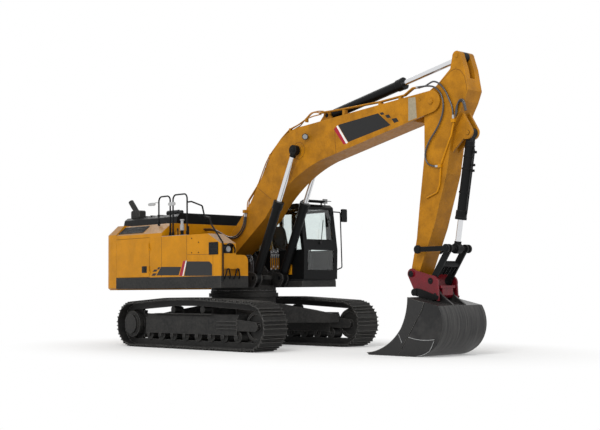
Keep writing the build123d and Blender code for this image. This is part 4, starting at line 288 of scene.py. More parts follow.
class ExcavatorTrim(bpy.types.PropertyGroup):
    pipe: bpy.props.FloatProperty(
        name="Pipe", description="Outer diameter of the small pipes and hoops", unit="LENGTH", default=0.028)
    bolt: bpy.props.FloatProperty(
        name="Bolt", description="Width of a panel bolt's head", unit="LENGTH", default=0.034)


# Materials
def add(tree, kind, links=None, output=0, **settings):
    """Adds a shader node with its settings, and its sockets set to numbers or linked to other sockets.
    Gives back one of its outputs."""
    node = tree.nodes.new("ShaderNode" + kind)
    for name, value in settings.items():
        setattr(node, name, value)
    for name, value in (links or {}).items():
        if isinstance(value, bpy.types.NodeSocket):
            tree.links.new(value, node.inputs[name])
        else:
            node.inputs[name].default_value = value
    return node.outputs[output] if node.outputs else None


def new_material(name):
    """An empty material with its tree and the object's own coordinates."""
    material = bpy.data.materials.new(name)
    material.use_nodes = True
    tree = material.node_tree
    tree.nodes.clear()
    return material, tree, add(tree, "TexCoord", output="Object")


def finished(material, sockets):
    """The material with one principled shader, whose sockets are set or linked as given."""
    shader = add(material.node_tree, "BsdfPrincipled", sockets)
    add(material.node_tree, "OutputMaterial", {"Surface": shader})
    return material


def mask(tree, value, low, high):
    """0 where a value is low and 1 where it is high."""
    return add(tree, "MapRange", {"Value": value, "From Min": low, "From Max": high})


def spread(tree, share, low, high):
    """A share of 0 to 1 as a number from low to high."""
    return add(tree, "MapRange", {"Value": share, "To Min": low, "To Max": high})


def blotches(tree, place, size_mm, detail, low, high):
    """A soft mask from noise of a real size: 0 below low, 1 above high."""
    noise = add(tree, "TexNoise", {
        "Vector": place, "Scale": 1000.0 / size_mm, "Detail": detail, "Roughness": 0.6})
    return mask(tree, noise, low, high)


def edge_mask(tree, radius_mm, low, high):
    """A mask that is 1 near sharp edges, where a rounded normal turns from the true one, and that normal."""
    rounded = add(tree, "Bevel", {"Radius": radius_mm / 1000.0}, samples=6)
    true = add(tree, "NewGeometry", output="Normal")
    turn = add(tree, "VectorMath", {0: rounded, 1: true}, "Value", operation="DOT_PRODUCT")
    return mask(tree, turn, high, low), rounded


def facing(tree, low, high):
    """A mask from how far a face looks up in the object's own frame: 0 at low, 1 at high."""
    normal = add(tree, "TexCoord", output="Normal")
    up = add(tree, "SeparateXYZ", {"Vector": normal}, "Z")
    return mask(tree, up, low, high)


def layered(tree, colour, layers):
    """A colour under thin layers, each a mask, the share that covers where it is 1, and a hex colour."""
    for mask, share, cover in layers:
        covered = add(tree, "Math", {0: mask, 1: share}, operation="MULTIPLY")
        colour = add(tree, "Mix", {0: covered, 6: colour, 7: to_linear(cover)}, 2, data_type="RGBA")
    return colour


def sprayed_paint(name, colour, dusty, dust, roughness, grime_and_shade, grime, rim, gloss=0.15, top_dust=None):
    """Two-pack enamel sprayed on steel plate: even colour with a soft gloss, dust where it settles on top,
    grime in broad patches, painted shade on faces that look down, and a painted highlight along sharp edges."""
    material, tree, place = new_material(name)
    fine = blotches(tree, place, 60.0, 6.0, 0.40, 0.72)
    layers = [(blotches(tree, place, 900.0, 3.0, 0.35, 0.75), dust * 0.25, dusty)]
    if grime_and_shade:
        layers.append((blotches(tree, place, 320.0, 5.0, 0.36, 0.66), grime, grime_and_shade))
        layers.append((blotches(tree, place, 26.0, 5.0, 0.52, 0.74), grime * 0.7, grime_and_shade))
        # painted shade: faces that look down are darkened towards the dark colour of grime
        layers.append((facing(tree, -0.15, -0.7), 0.6, grime_and_shade))
    depth = spread(tree, fine, 0.55, 1.0)
    settled = add(tree, "Math", {0: facing(tree, 0.3, 0.85), 1: depth}, operation="MULTIPLY")
    layers.append((settled, min(1.0, dust * 2.4), top_dust or dusty))
    edges, rounded = edge_mask(tree, 7.0, 0.6, 0.98)
    # painted highlight: a light colour laid along sharp edges
    layers.append((edges, 0.55, rim))
    rough = spread(tree, fine, roughness - 0.06, roughness + 0.12)
    return finished(material, {
        "Base Color": layered(tree, colour, layers), "Roughness": rough, "Specular IOR Level": gloss,
        "Normal": rounded})


def worn_steel(name, colour, dusty, bare, radius_mm, dust, wear, gloss=0.3, roughness=0.68, streaks=0.0):
    """Rolled or cast steel that works in soil: dark skin, dry dust and bright edges where it rubs, and on a
    shell that scrapes through the ground, fine bright streaks 30 mm apart that run across its width."""
    material, tree, place = new_material(name)
    edges, rounded = edge_mask(tree, radius_mm, 0.55, 0.97)
    layers = [(blotches(tree, place, 45.0, 7.0, 0.38, 0.70), dust, dusty),
              (blotches(tree, place, 380.0, 4.0, 0.35, 0.70), dust * 0.7, dusty)]
    if streaks:
        drawn = add(tree, "VectorMath", {0: place, 1: (0.05, 1.0, 0.05)}, operation="MULTIPLY")
        layers.append((blotches(tree, drawn, 30.0, 4.0, 0.4, 0.7), streaks, bare))
    layers.append((edges, wear, bare))
    rough = spread(tree, edges, roughness, 0.42)
    metal = add(tree, "Math", {0: edges, 1: wear * 0.85}, operation="MULTIPLY")
    grain = add(tree, "TexNoise", {"Vector": place, "Scale": 1000.0 / 9.0, "Detail": 4.0})
    bump = add(tree, "Bump", {"Height": grain, "Strength": 0.25, "Distance": 0.002, "Normal": rounded})
    return finished(material, {
        "Base Color": layered(tree, to_linear(colour), layers), "Roughness": rough, "Metallic": metal,
        "Specular IOR Level": gloss, "Normal": bump})


def plated_rod(name):
    """Hard chrome on a ground rod: a bright mirror with a faint haze of oil."""
    material, tree, place = new_material(name)
    haze = blotches(tree, place, 25.0, 5.0, 0.3, 0.8)
    rough = spread(tree, haze, 0.12, 0.24)
    return finished(material, {
        "Base Color": to_linear(CHROME), "Roughness": rough, "Metallic": 1.0})


def moulded(name, colour, roughness, size_mm, strength=0.15, coat=0.0, gloss=0.3):
    """Moulded rubber or plastic, or a thin film: one colour with a slight grain."""
    material, tree, place = new_material(name)
    grain = add(tree, "TexNoise", {"Vector": place, "Scale": 1000.0 / size_mm, "Detail": 5.0})
    tone = spread(tree, grain, 0.75, 1.25)
    shade = add(tree, "VectorMath", {0: to_linear(colour)[:3], "Scale": tone}, operation="SCALE")
    bump = add(tree, "Bump", {"Height": grain, "Strength": strength, "Distance": 0.001})
    return finished(material, {
        "Base Color": shade, "Roughness": roughness, "Coat Weight": coat, "Specular IOR Level": gloss,
        "Normal": bump})


def tinted_glass(name):
    """Toughened cab glass: clear with a faint green tint, and slightly soft reflections from road film."""
    material, tree, place = new_material(name)
    film = blotches(tree, place, 300.0, 3.0, 0.4, 0.8)
    rough = spread(tree, film, 0.02, 0.08)
    return finished(material, {
        "Base Color": to_linear(GLASS), "Roughness": rough, "IOR": 1.45, "Transmission Weight": 1.0})


def woven_cloth(name):
    """Woven seat cloth: two sets of coarse threads 6 mm apart. A wave repeats every 2 pi / (20 x scale)
    metres."""
    thread_mm = 6.0
    material, tree, place = new_material(name)
    thread = {"Vector": place, "Scale": 100.0 * math.pi / thread_mm, "Distortion": 1.0}
    first, second = (add(tree, "TexWave", thread, "Fac", wave_type="BANDS", bands_direction=direction)
                     for direction in ("X", "Z"))
    weave = add(tree, "Math", {0: first, 1: second}, operation="MAXIMUM")
    bump = add(tree, "Bump", {"Height": weave, "Strength": 0.4, "Distance": 0.002})
    return finished(material, {
        "Base Color": layered(tree, to_linear(BLACK), [(weave, 1.0, CLOTH)]), "Roughness": 0.9,
        "Sheen Weight": 0.3, "Normal": bump})


def make_materials(paint):
    """All finishes by name."""
    dust, wear = paint.dust, paint.wear
    # name, colour, dusty, dust, roughness, dark colour of grime and painted shade, grime, colour of the painted
    # edge highlight, gloss, dust on top
    painted = (
        ("ochre enamel", list(paint.main), OCHRE_DUSTY, dust, 0.42, OCHRE_DEEP, 0.25, OCHRE_EDGE_HIGHLIGHT, 0.15,
         OCHRE_TOP_DUST),
        ("handled ochre", to_linear(OCHRE_HANDLED), OCHRE_DUSTY, dust, 0.48, OCHRE_DEEP, 0.6, OCHRE_EDGE_HIGHLIGHT),
        ("black enamel", list(paint.second), BLACK_DUSTY, dust * 0.35, 0.42, None, 0.0, BLACK_EDGE_HIGHLIGHT, 0.12),
        ("red enamel", list(paint.coupler), BLACK_DUSTY, dust * 0.15, 0.3, RED_DEEP, 0.4, RED_EDGE_HIGHLIGHT, 0.35),
    )
    # name, colour, dusty, bare, edge radius in mm, dust, wear, gloss, roughness, streaks
    steels = (
        ("chassis black", FRAME_BLACK, FRAME_DUSTY, FRAME_WORN, 12.0, 0.5, wear * 1.2),
        ("track steel", TRACK_DARK, TRACK_DUSTY, TRACK_WORN, 9.0, 0.6, wear * 1.4),
        ("bucket steel", BUCKET_DARK, BUCKET_DUSTY, BUCKET_WORN, 6.0, 0.35, wear * 1.2, 0.3, 0.34, 0.16),
        ("cutter steel", CUTTER_DARK, TRACK_DUSTY, TRACK_WORN, 9.0, 0.35, wear * 1.4, 0.4, 0.45),
        ("grey cast iron", IRON, IRON_DUSTY, TRACK_WORN, 6.0, 0.3, 0.2),
        ("zinc fitting", SILVER, SILVER_DULL, WHITE, 3.0, 0.3, 0.3),
    )
    # name, colour, roughness, grain in mm, strength, coat, gloss
    mouldings = (
        ("weld bead", OCHRE_DEEP, 0.5, 8.0, 0.3), ("grey primer", PRIMER, 0.6, 30.0, 0.05),
        ("hose rubber", RUBBER, 0.28, 4.0, 0.1, 0.0, 0.8), ("moulded plastic", BLACK, 0.6, 5.0),
        ("clear lens", LENS, 0.12, 12.0, 0.3, 0.6), ("black film", FILM_BLACK, 0.35, 40.0, 0.02),
        ("red film", FILM_RED, 0.35, 40.0, 0.02), ("white film", WHITE, 0.35, 40.0, 0.02),
    )
    tables = ((sprayed_paint, painted), (worn_steel, steels), (moulded, mouldings))
    finishes = {row[0]: make(*row) for make, rows in tables for row in rows}
    for make, name in ((plated_rod, "hard chrome"), (tinted_glass, "cab glass"), (woven_cloth, "seat cloth")):
        finishes[name] = make(name)
    return finishes


FINISHES = {}

# The CAD nodes of each finish, by the start of their names. The longest start that fits a name is taken, and
# a node that none fits has ochre enamel.
NODE_FINISHES = {
    "chassis black": ("track_frame", "carbody", "slew_ring", "final_drive", "travel_motor", "bottom_rollers",
                      "carrier_rollers", "house_frame", "exhaust"),
    "track steel": ("track_", "idler"),
    "black enamel": ("engine_hood", "cowl", "handrails", "cab_", "grilles", "arm_rod_eye", "arm_barrel",
                     "lift_barrels", "lift_rod_eyes", "bucket_barrel", "bucket_rod_eye", "side_links",
                     "power_link"),
    "handled ochre": ("boom", "arm"),
    "ochre enamel": ("arm_pipes", ""),
    "hard chrome": ("arm_rod", "lift_rods", "bucket_rod"),
    "hose rubber": ("boom_hoses", "foot_hoses"),
    "cab glass": ("cab_glass", "door_glass"),
    "grey cast iron": ("engine_block",),
    "seat cloth": ("seat",),
    "moulded plastic": ("console",),
    "red enamel": ("coupler",),
    "cutter steel": ("bucket_edge",),
    "bucket steel": ("bucket",),
    "clear lens": ("lamps",),
}


# Surfaces
def new_object(name, mesh, finish, body):
    """An object at the origin with its finish, riding on a body."""
    obj = bpy.data.objects.new(name, mesh)
    bpy.context.scene.collection.objects.link(obj)
    mesh.materials.append(FINISHES[finish])
    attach(obj, body)
    return obj


def surface(name, points, corner=40.0):
    """A mesh from an (n, m, 3) array of points in metres: n rings of m points, each joined to the next. Equal
    points are merged, so poles close, and edges turned by more than the corner stay sharp."""
    n, m = points.shape[:2]
    a, b = np.meshgrid(np.arange(n - 1), np.arange(m), indexing="ij")
    c, d = a + 1, (b + 1) % m
    faces = np.stack([a * m + b, c * m + b, c * m + d, a * m + d], axis=-1).reshape(-1, 4)
    mesh = bpy.data.meshes.new(name)
    mesh.from_pydata(points.reshape(-1, 3).tolist(), [], faces.tolist())
    work = bmesh.new()
    work.from_mesh(mesh)
    bmesh.ops.remove_doubles(work, verts=work.verts, dist=1e-6)
    bmesh.ops.recalc_face_normals(work, faces=work.faces)
    work.to_mesh(mesh)
    work.free()
    mesh.polygons.foreach_set("use_smooth", np.ones(len(mesh.polygons), bool))
    mesh.set_sharp_from_angle(angle=math.radians(corner))
    return mesh


def merged_mesh(name, meshes):
    """One mesh from several."""
    work = bmesh.new()
    for mesh in meshes:
        work.from_mesh(mesh)
        bpy.data.meshes.remove(mesh)
    mesh = bpy.data.meshes.new(name)
    work.to_mesh(mesh)
    work.free()
    return mesh


def add_piece(name, meshes, finish, body):
    """One object from several meshes."""
    return new_object(name, merged_mesh(name, meshes), finish, body)


def block_mesh(low, high, round_by=2.0):
    """A block between two corners in machine millimetres: a rectangle with round corners carried up along Z,
    whose corner radius shrinks as the sine of an angle at both ends while it moves in as the cosine."""
    middle = (np.array(low, float) + high) / 2
    half = (np.array(high, float) - low) / 2
    radius = min(round_by, *(half * 0.49))
    signs = np.repeat([(1, 1), (-1, 1), (-1, -1), (1, -1)], 3, axis=0)
    turn = np.radians([0, 45, 90, 90, 135, 180, 180, 225, 270, 270, 315, 360])
    lean = np.radians([0, 45, 90])
    reach = np.concatenate([np.sin(lean), np.sin(lean[::-1])]) * radius
    height = half[2] - radius * (1 - np.cos(lean))
    height = np.concatenate([-height, height[::-1]])
    points = np.empty((len(height), len(turn), 3))
    points[..., :2] = middle[:2] + signs * (half[:2] - radius)
    points[..., 0] += reach[:, None] * np.cos(turn)
    points[..., 1] += reach[:, None] * np.sin(turn)
    points[..., 2] = middle[2] + height[:, None]
    poles = np.repeat([[middle - (0, 0, half[2])], [middle + (0, 0, half[2])]], len(turn), axis=1)
    return surface("block", metres(np.concatenate([poles[:1], points, poles[1:]])))


def plate_mesh(outline, y_low, y_high):
    """A flat plate across Y with a side outline of (x, z) points in machine millimetres."""
    points = np.array([(x, y, z) for y in (y_low, y_high) for x, z in outline])
    n = len(outline)
    faces = [tuple(range(n)), tuple(range(2 * n - 1, n - 1, -1))]
    faces += [(i, i + n, (i + 1) % n + n, (i + 1) % n) for i in range(n)]
    mesh = bpy.data.meshes.new("plate")
    mesh.from_pydata(metres(points).tolist(), [], faces)
    return mesh


def tube_along(path, radius, sides):
    """A tube in metres: a circle carried along a path without twisting, its ends closed."""
    step = np.gradient(path, axis=0)
    step /= np.linalg.norm(step, axis=1)[:, None]
    across = np.empty_like(step)
    side = np.cross(step[0], (0.0, 1.0, 0.0) if abs(step[0][1]) < 0.9 else (1.0, 0.0, 0.0))
    for index, direction in enumerate(step):
        side = side - direction * side.dot(direction)
        side /= np.linalg.norm(side)
        across[index] = side
    other = np.cross(step, across)
    angle = np.linspace(0, 2 * math.pi, sides, endpoint=False)
    ring = across[:, None] * np.cos(angle)[None, :, None] + other[:, None] * np.sin(angle)[None, :, None]
    wall = path[:, None] + ring * radius
    ends = np.repeat(path[[0, -1]][:, None], sides, axis=1)
    return surface("tube", np.concatenate([ends[:1], wall, ends[1:]]))


def tube_mesh(points, radius, sides=12):
    """A tube through points in machine millimetres."""
    return tube_along(metres(points), radius / 1000.0, sides)


def side_line(line, y, radius):
    """A thin bead along (x, z) points on a flat side."""
    return tube_mesh([(x, y, z) for x, z in line], radius, 6)


def smooth_line(route):
    """Points in metres on a smooth NURBS line that has a route's points as its control points."""
    curve = bpy.data.curves.new("line", "CURVE")
    curve.dimensions = "3D"
    curve.resolution_u = 12
    spline = curve.splines.new("NURBS")
    spline.points.add(len(route) - 1)
    for point, place in zip(spline.points, metres(route)):
        point.co = (*place, 1.0)
    spline.order_u = 3
    spline.use_endpoint_u = True
    holder = bpy.data.objects.new("line", curve)
    mesh = bpy.data.meshes.new_from_object(holder)
    line = np.array([vertex.co for vertex in mesh.vertices])
    bpy.data.objects.remove(holder)
    bpy.data.curves.remove(curve)
    bpy.data.meshes.remove(mesh)
    return line


def hose_mesh(route, radius):
    """A thin hose along the smooth line of a route in machine millimetres."""
    return tube_along(smooth_line(route), radius / 1000.0, sides=10)


def rounded_path(points, radius):
    """A rigid pipe's corner points with each corner replaced by a short curve: a quadratic bend of the
    given radius."""
    points = np.asarray(points, float)
    share = np.linspace(0, 1, 6)[:, None]
    result = [points[0]]
    for before, corner, after in zip(points[:-2], points[1:-1], points[2:]):
        first, second = before - corner, after - corner
        near, far = np.linalg.norm(first), np.linalg.norm(second)
        reach = min(radius, near * 0.45, far * 0.45)
        start, end = corner + first / near * reach, corner + second / far * reach
        result.extend((1 - share) ** 2 * start + 2 * share * (1 - share) * corner + share ** 2 * end)
    result.append(points[-1])
    return np.array(result)


def round_mesh(centre, axis, radius, length, bevel, sides=24):
    """A round bar centred in machine millimetres: a profile with a chamfered rim, turned about its axis."""
    along = np.asarray(axis, float) / np.linalg.norm(axis)
    across = np.cross(along, (0.0, 0.0, 1.0) if abs(along[2]) < 0.9 else (1.0, 0.0, 0.0))
    across /= np.linalg.norm(across)
    other = np.cross(along, across)
    half = length / 2
    profile = np.array([(0, -half), (radius - bevel, -half), (radius, -half + bevel),
                        (radius, half - bevel), (radius - bevel, half), (0, half)])
    angle = np.linspace(0, 2 * math.pi, sides, endpoint=False)
    ring = across * np.cos(angle)[:, None] + other * np.sin(angle)[:, None]
    points = np.asarray(centre, float) + profile[:, None, 1:2] * along + profile[:, None, 0:1] * ring[None]
    return surface("round", metres(points), 30.0)


# Stage
class EXCAVATOR_OT_stage(bpy.types.Operator):
    """Adds the camera, the plain pale floor and the soft lamps"""
    bl_idname = "excavator.stage"
    bl_label = "Stage"

    def execute(self, context):
        scene = context.scene
        scene.view_settings.view_transform = "Standard"
        data = bpy.data.cameras.new("photo_camera")
        data.lens = CAMERA_LENS
        data.sensor_width = 36.0
        data.clip_end = 500.0
        camera = bpy.data.objects.new("photo_camera", data)
        turn = Matrix((CAMERA_RIGHT, CAMERA_UP, CAMERA_BACK)).transposed().to_4x4()
        camera.matrix_world = Matrix.Translation(metres(CAMERA_PLACE)) @ turn
        scene.collection.objects.link(camera)
        scene.camera = camera
        self.add_floor(scene)
        self.add_world(scene)
        self.add_lamp(scene, "key", (9.0, -14.0, 13.0), 9.0, 1500.0)
        self.add_lamp(scene, "fill", (16.0, 6.0, 9.0), 10.0, 260.0)
        self.add_lamp(scene, "back", (-14.0, 6.0, 12.0), 9.0, 700.0)
        return {"FINISHED"}

    def add_floor(self, scene):
        """A pale floor far wider than the machine, which turns to plain white away from its shadow."""
        mesh = bpy.data.meshes.new("floor")
        corners = [(-120, -120, 0), (120, -120, 0), (120, 120, 0), (-120, 120, 0)]
        mesh.from_pydata(corners, [], [(0, 1, 2, 3)])
        floor = bpy.data.objects.new("floor", mesh)
        scene.collection.objects.link(floor)
        material, tree, place = new_material("pale floor")
        stretched = add(tree, "VectorMath", {0: place, 1: (0.6, 1.0, 1.0)}, operation="MULTIPLY")
        distance = add(tree, "VectorMath", {0: stretched}, "Value", operation="LENGTH")
        far = add(tree, "MapRange", {
            "Value": distance, "From Min": 2.4, "From Max": 5.0, "To Min": 0.25, "To Max": 1.0},
            interpolation_type="SMOOTHSTEP")
        lit = add(tree, "BsdfDiffuse", {"Color": to_linear(FLOOR), "Roughness": 0.5})
        white = add(tree, "Emission", {"Color": (1.0, 1.0, 1.0, 1.0), "Strength": 1.0})
        shader = add(tree, "MixShader", {0: far, 1: lit, 2: white})
        add(tree, "OutputMaterial", {"Surface": shader})
        mesh.materials.append(material)

    def add_world(self, scene):
        """An even pale surround, white where the camera, mirrors or glass look into it."""
        world = bpy.data.worlds.new("surround")
        world.use_nodes = True
        scene.world = world
        tree = world.node_tree
        tree.nodes.clear()
        seen = 0.0
        for ray in ("Is Camera Ray", "Is Glossy Ray", "Is Transmission Ray"):
            seen = add(tree, "Math", {0: seen, 1: add(tree, "LightPath", output=ray)}, operation="MAXIMUM")
        strength = spread(tree, seen, 0.55, 1.0)
        back = add(tree, "Background", {"Color": (1.0, 1.0, 1.0, 1.0), "Strength": strength})
        add(tree, "OutputWorld", {"Surface": back})

    def add_lamp(self, scene, name, place, size, power):
        """A square soft lamp that looks at the middle of the machine."""
        data = bpy.data.lights.new(name, "AREA")
        data.size = size
        data.energy = power
        lamp = bpy.data.objects.new(name, data)
        back = np.subtract(place, (0.0, 0.0, 2.0))
        back /= np.linalg.norm(back)
        right = np.cross((0.0, 0.0, 1.0), back)
        right /= np.linalg.norm(right)
        up = np.cross(back, right)
        turn = Matrix((right, up, back)).transposed().to_4x4()
        lamp.matrix_world = Matrix.Translation(place) @ turn
        scene.collection.objects.link(lamp)


class EXCAVATOR_OT_finishes(bpy.types.Operator):
    """Gives every piece of the frame its finish"""
    bl_idname = "excavator.finishes"
    bl_label = "Finishes"

    def execute(self, context):
        FINISHES.update(make_materials(context.scene.excavator_paint))
        for name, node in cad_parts.items():
            fitting = [(len(start), finish) for finish, starts in NODE_FINISHES.items()
                       for start in starts if name.startswith(start)]
            finish = max(fitting)[1]
            if node.material_slots:
                for slot in node.material_slots:
                    slot.material = FINISHES[finish]
            else:
                node.data.materials.append(FINISHES[finish])
        return {"FINISHED"}


class EXCAVATOR_OT_markings(bpy.types.Operator):
    """Adds the plain painted bands, stripes and squares, the panel seams and the weld beads"""
    bl_idname = "excavator.markings"
    bl_label = "Markings"

    def execute(self, context):
        for body, side, marks in (("house", HOUSE_SIDE, HOUSE_MARKS), ("boom", BOOM_SIDE, BOOM_MARKS)):
            for index, (finish, outline) in enumerate(marks):
                mesh = plate_mesh(outline, -side - SKIN, -side - SKIN_GAP)
                new_object(f"{body}_mark_{index + 1}", mesh, finish, body)
        turn = np.linspace(0, 2 * math.pi, 49)
        x, z = EYE_BOSS
        ring = list(zip(x + EYE_BOSS_RADIUS * np.cos(turn), z + EYE_BOSS_RADIUS * np.sin(turn)))
        rows = (
            ("house_seams", "black film", "house", None, HOUSE_SIDE, SEAM_RADIUS, HOUSE_SEAMS),
            ("arm_welds", "weld bead", "arm", "ochre_paint", ARM_SIDE, WELD_RADIUS, ARM_WELDS),
            ("boom_welds", "weld bead", "boom", "ochre_paint", BOOM_SIDE, WELD_RADIUS, (*BOOM_WELDS, ring)),
        )
        for name, finish, body, slot, side, radius, lines in rows:
            meshes = [side_line(line, -side, radius) for line in lines]
            if name == "boom_welds":
                meshes.append(side_line(ring, side, radius))
            add_piece(name, meshes, finish, body)
        return {"FINISHED"}


class EXCAVATOR_OT_hoses(bpy.types.Operator):
    """Adds the hoses from the house to the boom and from the boom to the arm"""
    bl_idname = "excavator.hoses"
    bl_label = "Hoses"

    def execute(self, context):
        for index, route in enumerate(TIP_HOSE_ROUTES):
            self.add_hose(f"tip_hose_{index + 1}", route, "boom_hoses", ("boom", "arm"), route[2], route[-1])
        second = [tuple(np.add(point, FOOT_HOSE_STEP)) for point in FOOT_HOSE_ROUTE[:-1]]
        x, y, z = FOOT_HOSE_ROUTE[-1]
        second.append((x, y + FOOT_HOSE_STEP[1], z))
        for index, route in enumerate((FOOT_HOSE_ROUTE, second)):
            name = f"foot_hose_{index + 1}"
            self.add_hose(name, route, "foot_hoses", ("house", "boom"), route[1], route[-2])
        return {"FINISHED"}

    def add_hose(self, name, route, node, bodies, start, end):
        """One rubber hose along its route."""
        line = smooth_line(route)
        mesh = tube_along(line, HOSE_RADIUS / 1000.0, 16)
        mesh.name = name
        obj = bpy.data.objects.new(name, mesh)
        bpy.context.scene.collection.objects.link(obj)
        mesh.materials.append(FINISHES["hose rubber"])
        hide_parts(node)
        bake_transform(obj)


class EXCAVATOR_OT_fittings(bpy.types.Operator):
    """Adds caps, mirrors, hoops, lamps, pipes and the parts seen between the boom and the cab"""
    bl_idname = "excavator.fittings"
    bl_label = "Fittings"

    def execute(self, context):
        trim = context.scene.excavator_trim
        pipe = trim.pipe * 500.0
        for name, finish, body, slot, *shapes in PLAIN_FITTINGS:
            meshes = [round_mesh(*shape) if len(shape) > 3 else block_mesh(*shape) for shape in shapes]
            add_piece(name, meshes, finish, body)
        self.add_pin_caps(trim.bolt * 500.0)
        self.add_mirrors()
        self.add_nose_front(pipe)
        self.add_hood_and_deck_lines()
        self.add_valve_hoses(pipe)
        self.add_slew_valves()
        self.add_hose_ends()
        self.add_boom_pipes()
        self.add_barrel_bands()
        self.add_bucket_trim()
        return {"FINISHED"}

    def add_pin_caps(self, bolt):
        """Round pin caps with a bolt each, on both sides of the boom's tip, the arm and the bucket's ears."""
        for index, (body, finish, side, (x, z), size) in enumerate(PIN_CAPS):
            caps = []
            for y in (-side - 5, side + 5):
                caps.append(round_mesh((x, y, z), ACROSS, size, 11, 3))
                caps.append(round_mesh((x, y * 1.02, z), ACROSS, min(size * 0.4, bolt), 14, 2, 6))
            add_piece(f"pin_caps_{index + 1}", caps, finish, body)

    def add_mirrors(self):
        """Two silver mirrors on the handrail loops: superellipses whose size follows a half circle."""
        u = np.linspace(0, 2 * math.pi, 28, endpoint=False)
        v = np.linspace(-1, 1, 9)
        bulge = ((0.82 + 0.18 * np.sqrt(1 - v ** 2)) * (np.abs(v) < 1))[:, None]
        across, upwards = (np.sign(wave) * np.abs(wave) ** 0.6 for wave in (np.cos(u), np.sin(u)))
        for index, (x_low, x_high, y, z_low, z_high, post) in enumerate(RAIL_MIRRORS):
            middle, height = (x_low + x_high) / 2, (z_low + z_high) / 2
            points = np.stack([
                middle + across * (x_high - x_low) / 2 * bulge,
                np.repeat(y - 45 + 22 * v[:, None], len(u), axis=1),
                height + upwards * (z_high - z_low) / 2 * bulge,
            ], axis=-1)
            shell = surface("mirror", metres(points))
            stay = [(post, y, z_high - 10), ((post + middle) / 2, y - 20, z_high), (middle, y - 40, height)]
            arm = tube_mesh(rounded_path(stay, 40), 9)
            add_piece(f"rail_mirror_{index + 1}", [shell, arm], "zinc fitting", "house")

    def add_nose_front(self, pipe):
        """The two step hoops and the lamp guard on the nose's front, and the grille on the right door."""
        meshes = []
        half = [(1052, 70, 1440), (1085, 60, 1500), (1092, 25, 1640)]
        for y in (-1330, -1080):
            hoop = [(x, y - reach, z) for x, reach, z in half]
            hoop += [(x, y + reach, z) for x, reach, z in half[::-1]]
            meshes.append(tube_mesh(rounded_path(hoop, 40), pipe))
        add_piece("step_hoops", meshes, "black enamel", "house")
        new_object("lamp_guard", tube_mesh(rounded_path(LAMP_GUARD, 60), pipe), "black enamel", "house")
        slats = [block_mesh((-1683, -1492, 1603), (-1496, -1490.05, 1745))]
        for z in np.arange(1612, 1740, 18.0):
            slats.append(block_mesh((-1675, -1497, z), (-1504, -1491, z + 8), 2))
        add_piece("door_grille", slats, "black enamel", "right_door")

    def add_hood_and_deck_lines(self):
        """The light lines on the hood's top, the handle by the filler cap and the wiper."""
        top = HOOD_TOP + 0.5
        lines = [tube_mesh([(-2420, y, top), (-975, y, top)], 3, 6) for y in (-640, 60, 700)]
        lines += [tube_mesh([(x, -990, top), (x, 990, top)], 3, 6) for x in (-1950, -1450)]
        add_piece("hood_lines", lines, "zinc fitting", "engine_hood")
        new_object("deck_handle", tube_mesh(rounded_path(DECK_HANDLE, 50), 11), "black enamel", "house")
        wiper = [(1404, 980, 2230), (1398, 1010, 2300), (1340, 1120, 2700)]
        meshes = [tube_mesh(wiper, 9), block_mesh((1396, 950, 2180), (1412, 1010, 2235), 6)]
        add_piece("wiper", meshes, "moulded plastic", "house")

    def add_valve_hoses(self, pipe):
        """Six hoses that rise beside the boom's foot, clear of the boom at its lowest."""
        hoses = []
        for index in range(6):
            place = (574 + 19 * index, -284 - 7 * (index % 3), 0)
            top = 1900 - 45 * (index % 4)
            route = [(10, 0, 1530), (0, -4, 1650), (8, -8, top - 120), (-4, -10, top), (-60, -20, top + 60),
                     (-130, -40, top + 20)]
            hoses.append(hose_mesh(np.add(route, place), pipe * 0.9))
        add_piece("valve_hoses", hoses, "hose rubber", "house")

    def add_slew_valves(self):
        """The row of valves beside the boom's foot: ochre bodies, silver fittings and their hoses."""
        bodies, fittings, hoses, ends = [], [], [], []
        for index in range(4):
            place = np.array((572 + 14 * index, 306 + 50 * index, 0))
            step = index % 2
            rise = 2045 + 25 * step
            bodies.append(round_mesh(place + (0, 0, 1775), UP, 26, 250, 8, 16))
            fittings.append(round_mesh(place + (0, 0, 1940), (0.2, -0.1, 1), 24, 70, 4, 6))
            loop = [(0, 0, 1960), (0, 0, 2010), (-2, 0, rise), (-15, 4, rise + 30), (-30, 6, rise),
                    (-34, 8, 1960), (-34, 8, 1700)]
            riser = [(16, -22, 1560), (20, -22, 1700), (20, -22, 1880), (6, -20, 1980), (-10, -18, 2040)]
            hoses += [hose_mesh(place + loop, 13), hose_mesh(place + riser, 11)]
            ends.append(round_mesh(place + (-2, 0, 2010 + 20 * step), (0.3, -0.2, 1), 19, 46, 4, 6))
            ends.append(round_mesh(place + (18, -22, 1660 + 50 * step), (0.1, 0, 1), 17, 40, 4, 6))
        add_piece("slew_valves", bodies, "ochre enamel", "house")
        add_piece("slew_fittings", fittings, "zinc fitting", "house")
        add_piece("slew_hoses", hoses, "hose rubber", "house")
        add_piece("slew_hose_ends", ends, "zinc fitting", "house")

